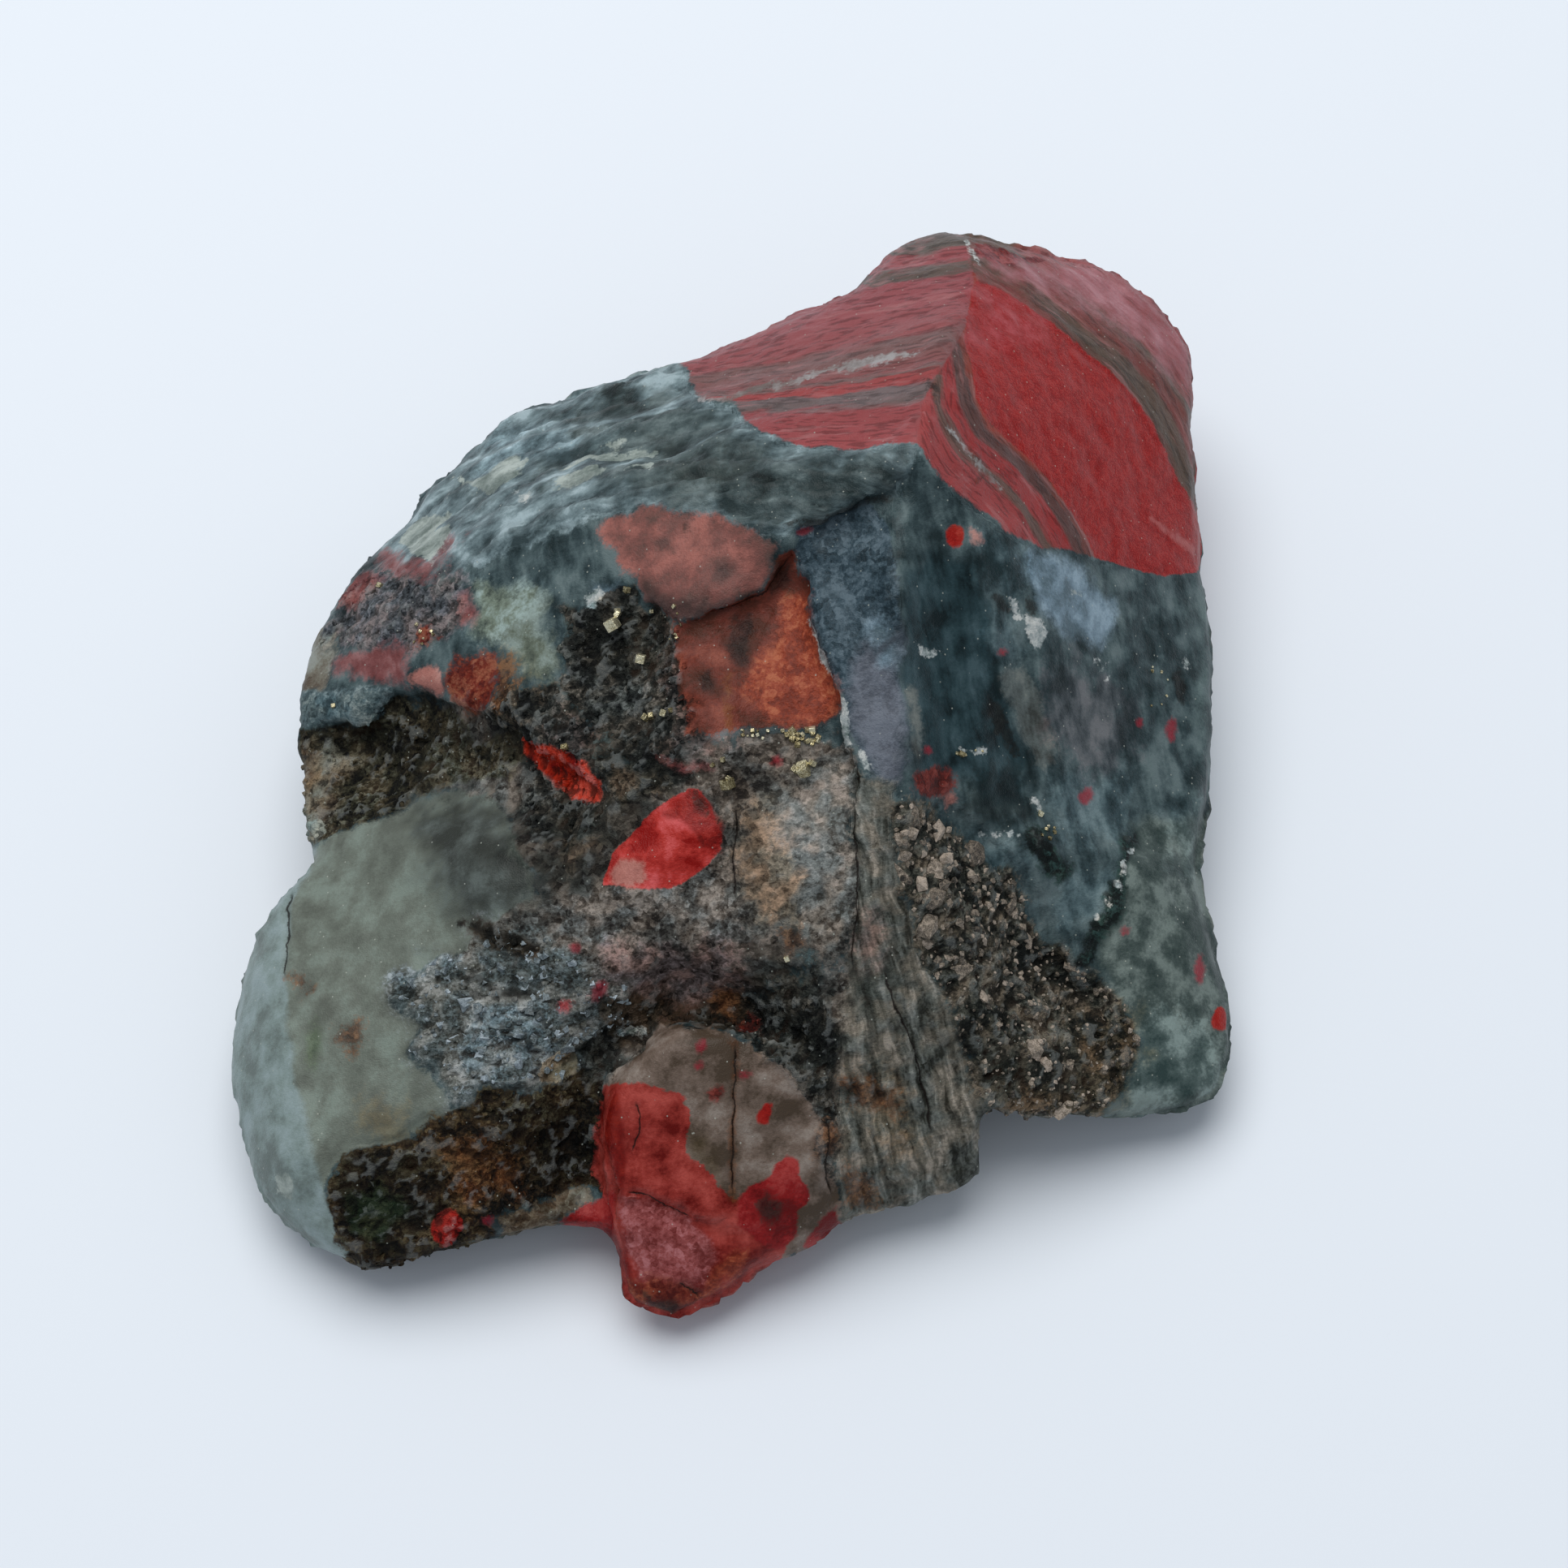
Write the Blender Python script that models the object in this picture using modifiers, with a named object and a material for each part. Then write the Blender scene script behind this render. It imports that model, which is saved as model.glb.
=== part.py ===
"""A rough piece of bloodstone: one broken lump of dark green chalcedony with red jasper.

The lump is the union of a few angular blocks, each the hull of its own corners. A tapered cutter
breaks it off along its rim, and large ellipsoids hollow its back and underside. The skin is then
moved in and out for ledges, dished fracture faces, strata and grain. All sizes are millimetres,
turned to metres at the end. +X is the stone's right, +Y its back, +Z up, and the origin is on the
resting plane under the middle of the stone.
"""

import math

import bmesh
import bpy
import numpy as np
from mathutils import Matrix, Vector, noise

MM = 0.001

# Resolution of the skin: while it is worked, and when it is thinned out
SKIN_VOXEL = 0.6
MOST_TRIANGLES = 9400

# Line of sight on the stone's best side. The rim and the relief are laid out along it, as
# distances across and up from the point that it aims at.
SIGHT_TILT = math.radians(58)
SIGHT_DISTANCE = 212.0
SIGHT_TARGET = Vector((3.4, -5.4, 15.0))
SIGHT_BACK = Vector((0.0, -math.cos(SIGHT_TILT), math.sin(SIGHT_TILT)))
SIGHT_RIGHT = Vector((1.0, 0.0, 0.0))
SIGHT_UP = SIGHT_BACK.cross(SIGHT_RIGHT)

# The flat spot that the stone rests on: its middle, its radius, and how far it is cut in
REST_MIDDLE = (2.0, 0.5)
REST_RADIUS = 9.5
REST_CUT = 0.35

# The grain and the chips fade in from the flat spot's edge to this many times its radius
REST_FADE = 1.35

# The blocks are made this much too wide, and the rim cutter brings them to size
BLOCK_ALLOWANCE = 1.03

# Corners of the blocks
BODY = [
    # back crest and the right rim, down to the flank
    (15.3, 37.7, 23.5), (17.3, 36.1, 24.5), (23.0, 38.3, 20.5), (28.4, 40.3, 16.5),
    (32.6, 38.5, 14.0), (34.8, 36.1, 12.5), (34.8, 25.9, 12.0), (34.4, 15.8, 11.0),
    (35.2, 9.4, 9.5), (34.3, -0.2, 8.5), (33.1, -7.1, 7.5),
    # back left rim
    (10.4, 38.0, 19.0), (5.5, 36.1, 17.0), (-3.8, 32.7, 14.5), (-13.1, 30.1, 13.0),
    (-18.1, 29.2, 12.5), (-22.9, 23.1, 12.0), (-27.8, 17.0, 11.0), (-30.5, 10.3, 11.5),
    (-31.7, 2.3, 11.0), (-30.7, -3.5, 10.5), (-30.0, -7.8, 10.0),
    # summit and the two ridges that run from it
    (13.4, 16.9, 32.5), (12.0, 8.4, 35.0), (4.4, 4.5, 31.5), (-3.0, 8.2, 29.0),
    (-9.3, 9.9, 26.5), (-15.2, 10.8, 23.0), (-20.1, 10.9, 19.0), (-25.2, 11.7, 15.0),
    (11.2, 0.4, 32.0), (11.2, -6.6, 28.0), (11.3, -11.3, 25.0),
    # front slope
    (-16.5, -15.9, 18.0), (-7.7, -23.7, 15.5), (5.2, -24.0, 16.0),
    # the spot that it rests on
    (-10.0, -13.0, 0.0), (3.0, -16.0, 0.0), (15.0, -10.0, 0.0), (19.0, 3.0, 0.0),
    (15.0, 15.0, 0.0), (1.0, 17.0, 0.0), (-11.0, 10.0, 0.0), (-15.0, -2.0, 0.0),
    # the rest of the underside, which rises to the rim
    (-18.0, -16.0, 2.0), (8.0, -22.0, 1.6), (21.0, -14.0, 1.8), (28.0, 6.0, 2.6),
    (23.0, 25.0, 2.8), (4.0, 28.0, 2.4), (-14.0, 22.0, 2.6), (-23.0, 4.0, 2.2),
    (20.0, 37.5, 6.5), (31.5, 34.5, 7.0), (6.0, 34.0, 6.0), (-13.0, 28.5, 6.0),
    (-26.0, 17.0, 5.0), (-29.5, 5.0, 5.5), (32.5, 16.0, 5.0), (31.5, -2.0, 4.5),
    (-28.0, -9.0, 5.0),
]
LOBE = [
    # crest of the left bevel
    (-29.3, -9.3, 11.2), (-31.3, -11.8, 10.4), (-31.1, -18.1, 10.8), (-30.2, -24.2, 10.6),
    (-28.7, -30.9, 9.4), (-25.1, -36.4, 5.4),
    # top
    (-16.9, -9.6, 17.2), (-14.3, -16.9, 16.6), (-14.2, -23.2, 14.6), (-18.5, -29.2, 11.6),
    (-25.6, -31.0, 9.6), (-10.9, -27.1, 12.8), (-9.9, -30.2, 10.4), (-2.3, -26.2, 13.4),
    (5.2, -25.6, 13.4),
    # rim
    (-34.0, -13.3, 6.5), (-35.0, -17.1, 5.4), (-35.1, -23.6, 4.4), (-33.7, -27.4, 3.8),
    (-32.5, -31.4, 3.2), (-29.0, -34.6, 2.8), (-25.4, -36.2, 2.6), (-23.4, -36.2, 2.8),
    (-17.6, -34.8, 3.8), (-10.3, -34.1, 4.6), (-1.3, -33.5, 4.8), (6.4, -33.6, 5.0),
    # underside
    (-30.0, -17.0, 1.6), (-28.0, -29.0, 1.2), (-19.0, -31.0, 1.4), (-8.0, -30.0, 1.6),
    (4.0, -29.0, 1.4), (-20.0, -12.0, 0.2), (4.0, -16.0, 0.2),
]
TONGUE = [
    (-5.9, -26.0, 15.2), (-3.9, -24.8, 16.2), (0.1, -24.8, 15.8), (5.2, -25.8, 14.8),
    (-8.3, -28.4, 13.6), (-8.4, -30.9, 12.0), (-7.6, -34.2, 9.2), (-2.3, -35.1, 8.4),
    (7.4, -30.4, 11.0), (8.0, -33.9, 5.0), (5.8, -35.6, 4.2), (1.5, -36.7, 3.8),
    (-3.8, -40.5, 2.8), (-7.2, -39.5, 3.4), (-7.9, -37.2, 5.2), (-1.3, -39.2, 3.0),
    (-4.0, -37.0, 1.9), (5.0, -32.0, 2.4), (-6.0, -22.0, 3.0), (6.0, -22.0, 3.0),
]
RIB = [
    (11.2, -10.6, 26.0), (11.9, -14.8, 22.6), (5.8, -12.3, 22.6), (5.2, -24.1, 16.2),
    (13.3, -19.3, 18.6), (14.7, -23.8, 14.6), (16.1, -28.0, 9.6), (17.0, -30.2, 5.4),
    (15.8, -31.5, 4.2), (13.1, -32.0, 4.4), (7.5, -33.9, 4.6), (6.3, -31.0, 9.6),
    (6.8, -27.6, 12.6), (15.0, -25.0, 0.8), (6.0, -28.0, 0.8), (14.0, -14.0, 0.2),
]
FLANK = [
    (12.2, -13.1, 22.8), (13.4, -18.6, 19.0), (15.0, -22.6, 15.2), (22.5, -10.5, 16.4),
    (27.8, -10.3, 12.8), (33.1, -7.2, 7.6), (27.1, -15.2, 11.2), (30.0, -19.1, 8.4),
    (34.2, -12.9, 4.8), (35.3, -19.4, 4.0), (33.9, -24.0, 4.0), (30.8, -26.1, 4.2),
    (25.6, -26.2, 5.4), (19.9, -26.9, 6.8), (16.8, -26.8, 8.0), (16.4, -26.7, 10.6),
    (28.6, -24.3, 7.0), (21.7, -21.9, 12.0), (29.0, -15.0, 1.8), (18.0, -20.0, 1.6),
    (24.0, 0.0, 0.4),
]

# The rim, as it is seen along the line of sight
RIM = [
    (11.1, 38.3), (13.0, 37.9), (18.0, 36.7), (20.5, 36.1), (22.6, 35.7), (24.5, 34.4),
    (26.2, 33.0), (28.2, 30.4), (28.4, 26.3), (28.9, 14.8), (29.6, 12.2), (30.0, 9.4),
    (29.7, 5.2), (29.3, -1.6), (29.0, -4.6), (29.0, -6.5), (29.3, -8.4), (30.7, -14.0),
    (31.6, -17.7), (31.4, -18.7), (30.5, -21.7), (29.7, -22.1), (27.7, -23.3), (22.5, -22.9),
    (16.9, -22.9), (15.0, -22.4), (14.1, -22.4), (13.5, -23.4), (13.8, -26.5), (13.4, -27.5),
    (12.8, -27.5), (12.6, -28.4), (10.7, -29.0), (10.0, -28.6), (5.8, -30.2), (4.3, -30.5),
    (2.8, -32.1), (-1.9, -33.6), (-3.3, -34.9), (-7.4, -37.5), (-10.8, -36.3), (-11.5, -35.2),
    (-11.5, -32.7), (-12.1, -30.7), (-17.8, -30.9), (-21.7, -31.7), (-27.5, -33.4),
    (-29.6, -33.4), (-33.2, -32.0), (-35.0, -30.7), (-36.6, -28.8), (-37.5, -24.9),
    (-38.7, -21.1), (-38.5, -17.6), (-36.9, -11.1), (-35.0, -7.6), (-32.9, -4.7),
    (-33.6, 0.3), (-34.0, 3.8), (-33.5, 7.1), (-32.2, 10.9), (-29.4, 15.4), (-25.6, 18.2),
    (-24.9, 20.1), (-21.9, 22.6), (-20.5, 24.5), (-19.6, 25.6), (-15.2, 26.5), (-13.1, 27.7),
    (-6.5, 29.3), (-4.0, 30.2), (0.8, 32.6), (5.2, 34.3), (6.2, 35.4), (7.8, 36.9),
    (9.8, 37.9),
]

# Large hollow fracture faces on the hidden sides: centre, half lengths and turn in degrees
SCOOPS = {
    "back_left": ((-9.0, 38.0, 2.0), (19.0, 9.0, 9.0), (18.0, 0.0, 24.0)),
    "back_right": ((26.0, 47.0, 1.0), (15.0, 12.0, 11.0), (10.0, 0.0, -8.0)),
    "right": ((41.0, 9.0, -1.5), (9.0, 21.0, 9.5), (0.0, 12.0, 0.0)),
    "left": ((-35.0, 9.0, 1.0), (8.0, 14.0, 7.0), (0.0, 0.0, 8.0)),
    "under_front": ((-20.0, -27.0, -5.5), (16.0, 11.0, 7.0), (0.0, 0.0, 12.0)),
    "under_right": ((24.0, -20.0, -4.6), (13.0, 12.0, 6.6), (0.0, 0.0, -20.0)),
}

# Ledges as they are seen: the stone lies lower on the right hand of each line by the drop,
# down a wall of that width, and is back at its height at the reach
LEDGES = {
    "oval": ([(-11.3, 14.3), (-9.6, 12.9), (-7.2, 11.7), (-4.6, 11.9), (-1.7, 13.1),
              (0.1, 14.7), (1.1, 17.2)], 1.2, 0.8, 9.0),
    "pale_edge": ([(0.9, 17.6), (1.0, 16.8), (1.9, 11.6), (3.5, 6.5), (4.7, 1.5),
                   (5.4, -1.1), (5.2, -4.0)], 1.5, 0.6, 9.0),
    "crest": ([(0.2, 17.2), (1.1, 17.7), (4.2, 18.8), (7.0, 20.7), (8.6, 22.6)], 1.6, 0.9, 8.0),
    "left": ([(-33.4, 4.8), (-31.9, 4.2), (-29.1, 4.1), (-26.9, 6.4), (-24.6, 6.1),
              (-20.7, 4.7), (-17.5, 2.9), (-13.9, 0.6), (-11.1, -1.1)], 2.8, 2.2, 9.0),
    "tongue": ([(0.6, -18.9), (-0.3, -18.3), (-3.4, -16.8), (-7.7, -16.5), (-10.0, -18.3),
                (-12.6, -21.1), (-12.9, -24.5), (-11.7, -29.0), (-12.1, -31.8)], 2.2, 1.0, 6.0),
    "hollow": ([(10.5, -0.4), (13.2, -2.5), (15.7, -4.5), (18.3, -8.1), (19.1, -11.5),
                (20.5, -13.8), (23.4, -15.6)], 1.3, 0.8, 8.0),
    "drop": ([(-13.5, -8.0), (-12.3, -7.0), (-9.4, -3.6), (-6.3, -0.5), (-4.4, -3.0),
              (-4.9, -5.3), (-7.4, -7.1)], -0.9, 0.8, 5.0),
}

# Dished fracture faces as they are seen: middle, half sizes, turn in degrees and depth
DISHES = {
    "granular_hollow": ((19.2, -13.2), (5.6, 8.8), 24.0, 1.8),
    "left_hollow": ((-24.6, 0.2), (7.4, 4.4), -10.0, 1.6),
    "pyrite_pit": ((-11.3, 7.4), (4.4, 5.8), 0.0, 1.2),
    "orange_recess": ((-1.6, 8.4), (5.0, 6.0), 10.0, 0.7),
    "pit_over_tongue": ((-5.6, -15.2), (6.6, 2.6), -6.0, 1.5),
    "recess_by_tongue": ((-16.5, -26.5), (4.6, 4.2), 0.0, 1.6),
    "upper_flute": ((10.9, 9.2), (3.0, 12.0), 3.0, 1.1),
    "middle_flute": ((16.0, 5.6), (2.7, 10.0), 9.0, 0.9),
    "broad_flute": ((23.6, 5.2), (5.4, 11.5), 4.0, 1.3),
    "dark_face": ((4.9, 9.4), (3.2, 10.0), 6.0, 0.6),
    "cloudy_dish": ((21.2, -9.2), (3.6, 4.4), 20.0, 0.7),
    "lobe_dish": ((-27.0, -10.0), (7.0, 6.0), 20.0, 0.5),
}

# How squarely skin faces the eye where the relief seen from there starts, and where it is whole
FACING = (0.05, 0.4)

# How much it is turned away where the chips of the hidden sides start, and where they are whole
TURNED_AWAY = (-0.02, -0.3)

# Roughness of the skin as it is seen: middle, half sizes, and height of the grain there
SMOOTH_GRAIN = 0.22
ROUGH_ZONES = [
    ((17.5, -13.5), (9.0, 10.5), 0.95),
    ((6.0, -16.0), (8.0, 14.0), 0.75),
    ((-9.0, -8.0), (12.0, 16.0), 0.75),
    ((-18.0, -25.0), (10.0, 5.5), 0.95),
    ((-23.0, 2.0), (12.0, 5.5), 0.85),
    ((-11.3, 7.4), (6.0, 7.5), 0.9),
    ((-16.0, 20.0), (15.0, 8.0), 0.6),
]
HIDDEN_GRAIN = 0.55

# Shell-shaped chips that cover the hidden sides: usual width and depth
CHIP_WIDTH = 13.0
CHIP_DEPTH = 3.4

# Part of the chips' depth that their ridges stand out, and how far in from the rim they all do
CHIP_RIDGE = 0.5
CHIP_RIM = 6.0

# Strata that crop out on the upper left face: outline, direction, spacing and height
STRATA_FACE = [
    (-26.5, 17.0), (-13.0, 19.0), (0.0, 18.5), (8.6, 22.8), (10.0, 28.6), (13.0, 37.6),
    (7.0, 38.5), (-8.0, 31.0), (-21.0, 27.5),
]
STRATA_TURN = math.radians(17)
STRATA_SPACING = 3.1
STRATA_HEIGHT = 0.55

# Part of each bed over which it rises, and part where its sharp upper edge drops
STRATA_RISE = 0.8
STRATA_EDGE = 0.86

# Waviness of the beds: its height, and how often it comes in a millimetre
STRATA_WAVE = 2.2
STRATA_WAVE_RATE = 0.09

STONE_COLOUR = (0.045, 0.06, 0.055, 1.0)
STONE_ROUGHNESS = 0.42


def clear_scene():
    for old in list(bpy.data.objects):
        bpy.data.objects.remove(old, do_unlink=True)


def collection(name):
    made = bpy.data.collections.new(name)
    bpy.context.scene.collection.children.link(made)
    return made


def helper(name, bm, home):
    """A cutter or block, which the model is made with and which isn't part of it."""
    bmesh.ops.recalc_face_normals(bm, faces=bm.faces)
    mesh = bpy.data.meshes.new(name)
    bm.to_mesh(mesh)
    bm.free()
    made = bpy.data.objects.new(name, mesh)
    made.hide_render = True
    made.display_type = "WIRE"
    home.objects.link(made)
    return made


def block(name, corners, home):
    """An angular block: the hull of its corners, spread a little."""
    spread = Vector((BLOCK_ALLOWANCE, BLOCK_ALLOWANCE, 1.0))
    bm = bmesh.new()
    for corner in corners:
        bm.verts.new(SIGHT_TARGET + (Vector(corner) - SIGHT_TARGET) * spread)
    hull = bmesh.ops.convex_hull(bm, input=bm.verts)
    spare = [v for v in hull["geom_interior"] if isinstance(v, bmesh.types.BMVert)]
    bmesh.ops.delete(bm, geom=spare, context="VERTS")
    return helper(name, bm, home)


def on_sight(across, up, nearer):
    """The point seen at (across, up) that is nearer to the eye than the target by that much."""
    scale = (SIGHT_DISTANCE - nearer) / SIGHT_DISTANCE
    return SIGHT_TARGET + SIGHT_BACK * nearer + (SIGHT_RIGHT * across + SIGHT_UP * up) * scale


def rim_cutter(home, reach=70.0):
    """A closed taper along the line of sight whose section is the rim."""
    bm = bmesh.new()
    sides = []
    for nearer in (reach, -reach):
        ring = [bm.verts.new(on_sight(across, up, nearer)) for across, up in RIM]
        sides += [bm.edges.new(pair) for pair in zip(ring, ring[1:] + ring[:1])]
        bm.faces.new(ring)
    bmesh.ops.bridge_loops(bm, edges=sides)
    return helper("rim_cutter", bm, home)


def scoop(name, centre, half_lengths, turn, home):
    bm = bmesh.new()
    bmesh.ops.create_uvsphere(bm, u_segments=48, v_segments=32, radius=1.0)
    bmesh.ops.scale(bm, vec=half_lengths, verts=bm.verts)
    for degrees, axis in zip(turn, "XYZ"):
        spin = Matrix.Rotation(math.radians(degrees), 3, axis)
        bmesh.ops.rotate(bm, cent=(0, 0, 0), matrix=spin, verts=bm.verts)
    bmesh.ops.translate(bm, vec=centre, verts=bm.verts)
    return helper(name, bm, home)


def boolean(obj, tool, operation):
    cut = obj.modifiers.new(tool.name, "BOOLEAN")
    cut.object = tool
    cut.operation = operation
    cut.solver = "EXACT"


def even_skin(obj):
    skin = obj.modifiers.new("even_skin", "REMESH")
    skin.mode = "VOXEL"
    skin.voxel_size = SKIN_VOXEL
    apply_modifiers(obj)


def apply_modifiers(obj):
    bpy.context.view_layer.update()
    graph = bpy.context.evaluated_depsgraph_get()
    mesh = bpy.data.meshes.new_from_object(obj.evaluated_get(graph))
    obj.modifiers.clear()
    obj.data = mesh


def lump(parts, helpers):
    """The joined, trimmed and hollowed blocks under one skin of even faces."""
    body = block("body_block", BODY, helpers)
    stone = bpy.data.objects.new("bloodstone", body.data.copy())
    parts.objects.link(stone)
    for name, corners in (("lobe", LOBE), ("tongue", TONGUE), ("rib", RIB), ("flank", FLANK)):
        boolean(stone, block(f"{name}_block", corners, helpers), "UNION")
    boolean(stone, rim_cutter(helpers), "INTERSECT")
    for name, (centre, half_lengths, turn) in SCOOPS.items():
        boolean(stone, scoop(f"{name}_scoop", centre, half_lengths, turn, helpers), "DIFFERENCE")
    even_skin(stone)
    return stone


def smooth_step(low, high, value):
    t = np.clip((value - low) / (high - low), 0.0, 1.0)
    return t * t * (3.0 - 2.0 * t)


def seen(points):
    """Where points are seen: across, up, and nearer to the eye than the target."""
    offset = points - np.array(SIGHT_TARGET)
    nearer = offset @ np.array(SIGHT_BACK)
    scale = SIGHT_DISTANCE / (SIGHT_DISTANCE - nearer)
    across = offset @ np.array(SIGHT_RIGHT) * scale
    up = offset @ np.array(SIGHT_UP) * scale
    return across, up, nearer


def line_distance(across, up, line):
    """Signed distance to a line, positive on its right hand, and how far along it that is."""
    corners = np.array(line, dtype=float)
    lengths = np.linalg.norm(np.diff(corners, axis=0), axis=1)
    starts = np.concatenate([[0.0], np.cumsum(lengths)])
    nearest = np.full(across.shape, np.inf)
    side = np.ones(across.shape)
    along = np.zeros(across.shape)
    for (ax, ay), (bx, by), length, start in zip(corners, corners[1:], lengths, starts):
        dx, dy = (bx - ax) / length, (by - ay) / length
        t = np.clip((across - ax) * dx + (up - ay) * dy, 0.0, length)
        gap = np.hypot(across - ax - dx * t, up - ay - dy * t)
        hand = (across - ax) * dy - (up - ay) * dx
        closer = gap < nearest - 1e-6
        nearest = np.where(closer, gap, nearest)
        side = np.where(closer, np.where(hand >= 0.0, 1.0, -1.0), side)
        along = np.where(closer, start + t, along)
    return nearest * side, along / starts[-1]


def inside(across, up, outline):
    """How far inside a closed outline points are seen, negative outside."""
    closed = list(outline) + [outline[0]]
    distance, _ = line_distance(across, up, closed)
    within = np.zeros(across.shape, dtype=bool)
    for (ax, ay), (bx, by) in zip(closed, closed[1:]):
        if ay == by:
            continue
        crosses = ((ay > up) != (by > up)) & (across < (bx - ax) * (up - ay) / (by - ay) + ax)
        within ^= crosses
    return np.where(within, np.abs(distance), -np.abs(distance))


def oval(across, up, middle, half_sizes, turn=0.0):
    """Distance from an oval's middle, 1 at its edge."""
    dx, dy = across - middle[0], up - middle[1]
    cos, sin = math.cos(turn), math.sin(turn)
    return np.hypot((dx * cos + dy * sin) / half_sizes[0], (dy * cos - dx * sin) / half_sizes[1])


def sunk(across, up):
    """How much further from the eye the ledges and dishes put the skin."""
    depth = np.zeros(across.shape)
    for line, drop, wall, reach in LEDGES.values():
        distance, along = line_distance(across, up, line)
        ends = smooth_step(0.0, 0.14, along) * smooth_step(1.0, 0.86, along)
        step = smooth_step(-wall / 2, wall / 2, distance) * smooth_step(reach, wall, distance)
        depth += drop * step * ends
    for middle, half_sizes, turn, deep in DISHES.values():
        r = oval(across, up, middle, half_sizes, math.radians(turn))
        depth += deep * np.clip(1.0 - r**2, 0.0, 1.0)
    return depth


def grain_height(across, up, facing):
    """How high the grain of the broken skin stands."""
    height = np.full(across.shape, SMOOTH_GRAIN)
    for middle, half_sizes, rough in ROUGH_ZONES:
        zone = smooth_step(1.25, 0.7, oval(across, up, middle, half_sizes))
        height = np.maximum(height, SMOOTH_GRAIN + (rough - SMOOTH_GRAIN) * zone)
    return HIDDEN_GRAIN + (height - HIDDEN_GRAIN) * facing


def lumps(point):
    """Broken grain: sharp little ridges over soft lumps, about -1 to 1."""
    soft = noise.fractal(point * 0.16, 1.0, 2.1, 3)
    sharp = noise.ridged_multi_fractal(point * 0.3, 1.0, 2.2, 3, 1.0, 1.6)
    return 0.6 * soft + 0.5 * (sharp - 1.1)


def chip(point):
    """Dished chips with sharp ridges between them, from 0 at a chip's middle."""
    gaps, _ = noise.voronoi(point / CHIP_WIDTH)
    return gaps[0] ** 2


def chips(points, across, up):
    """How far the chips move the skin. Their ridges don't stand out past the rim."""
    height = CHIP_DEPTH * (np.array([chip(Vector(p)) for p in points]) - CHIP_RIDGE)
    clear = smooth_step(0.0, CHIP_RIM, inside(across, up, RIM))
    return np.where(height > 0.0, height * clear, height)


def strata(across, up):
    """Thin beds that crop out as steps, each with a sharp upper edge."""
    spots = zip(across * STRATA_WAVE_RATE, up * STRATA_WAVE_RATE)
    wave = STRATA_WAVE * np.array([noise.noise(Vector((x, y, 3.0))) for x, y in spots])
    bed = (up * math.cos(STRATA_TURN) - across * math.sin(STRATA_TURN) + wave) / STRATA_SPACING
    part = bed - np.floor(bed)
    step = smooth_step(0.0, STRATA_RISE, part) * smooth_step(1.0, STRATA_EDGE, part)
    face = smooth_step(0.0, 2.5, inside(across, up, STRATA_FACE))
    return STRATA_HEIGHT * face * (step - 0.5)


def carve(stone):
    """Moves the skin for the ledges, dishes, strata and grain."""
    mesh = stone.data
    points = np.array([v.co for v in mesh.vertices])
    normals = np.array([v.normal for v in mesh.vertices])
    across, up, _ = seen(points)
    eye = np.array(SIGHT_TARGET + SIGHT_BACK * SIGHT_DISTANCE)
    to_eye = eye - points
    to_eye /= np.linalg.norm(to_eye, axis=1)[:, None]
    slant = np.sum(normals * to_eye, axis=1)
    facing = smooth_step(*FACING, slant)
    hidden = smooth_step(*TURNED_AWAY, slant)
    from_rest = np.hypot(points[:, 0] - REST_MIDDLE[0], points[:, 1] - REST_MIDDLE[1])
    rough = 1.0 - smooth_step(REST_FADE, 1.0, from_rest / REST_RADIUS) * hidden
    grain = grain_height(across, up, facing) * np.array([lumps(Vector(p)) for p in points])
    raised = grain * rough + strata(across, up) * facing
    raised += chips(points, across, up) * hidden * rough
    points -= to_eye * (sunk(across, up) * facing)[:, None]
    points += normals * raised[:, None]
    mesh.vertices.foreach_set("co", points.astype(np.float32).ravel())
    mesh.update()


def thin_out(stone):
    """Fewer faces where the stone is flat, and the rest where it bends."""
    faces = 2 * len(stone.data.polygons)
    fewer = stone.modifiers.new("fewer_faces", "DECIMATE")
    fewer.ratio = min(1.0, MOST_TRIANGLES / faces)
    apply_modifiers(stone)


def flat_rest(stone):
    """Cuts the flat spot that the stone rests on, and puts the origin under its middle."""
    bm = bmesh.new()
    bm.from_mesh(stone.data)
    cut = bmesh.ops.bisect_plane(
        bm,
        geom=bm.verts[:] + bm.edges[:] + bm.faces[:],
        plane_co=(0, 0, REST_CUT),
        plane_no=(0, 0, -1),
        clear_outer=True,
    )
    rim = [e for e in cut["geom_cut"] if isinstance(e, bmesh.types.BMEdge)]
    bmesh.ops.holes_fill(bm, edges=rim)
    bmesh.ops.triangulate(bm, faces=bm.faces)
    points = np.array([v.co for v in bm.verts])
    middle = (points.min(axis=0) + points.max(axis=0)) / 2
    bmesh.ops.translate(bm, vec=(-middle[0], -middle[1], -REST_CUT), verts=bm.verts)
    bmesh.ops.scale(bm, vec=(MM, MM, MM), verts=bm.verts)
    bm.to_mesh(stone.data)
    bm.free()


def stone_material():
    made = bpy.data.materials.new("dark_chalcedony")
    made.use_nodes = True
    shader = made.node_tree.nodes["Principled BSDF"]
    shader.inputs["Base Color"].default_value = STONE_COLOUR
    shader.inputs["Roughness"].default_value = STONE_ROUGHNESS
    shader.inputs["Metallic"].default_value = 0.0
    return made


def main():
    clear_scene()
    parts = collection("bloodstone")
    helpers = collection("cutters")
    stone = lump(parts, helpers)
    carve(stone)
    even_skin(stone)
    thin_out(stone)
    flat_rest(stone)
    stone.data.materials.clear()
    stone.data.materials.append(stone_material())


main()
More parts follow.
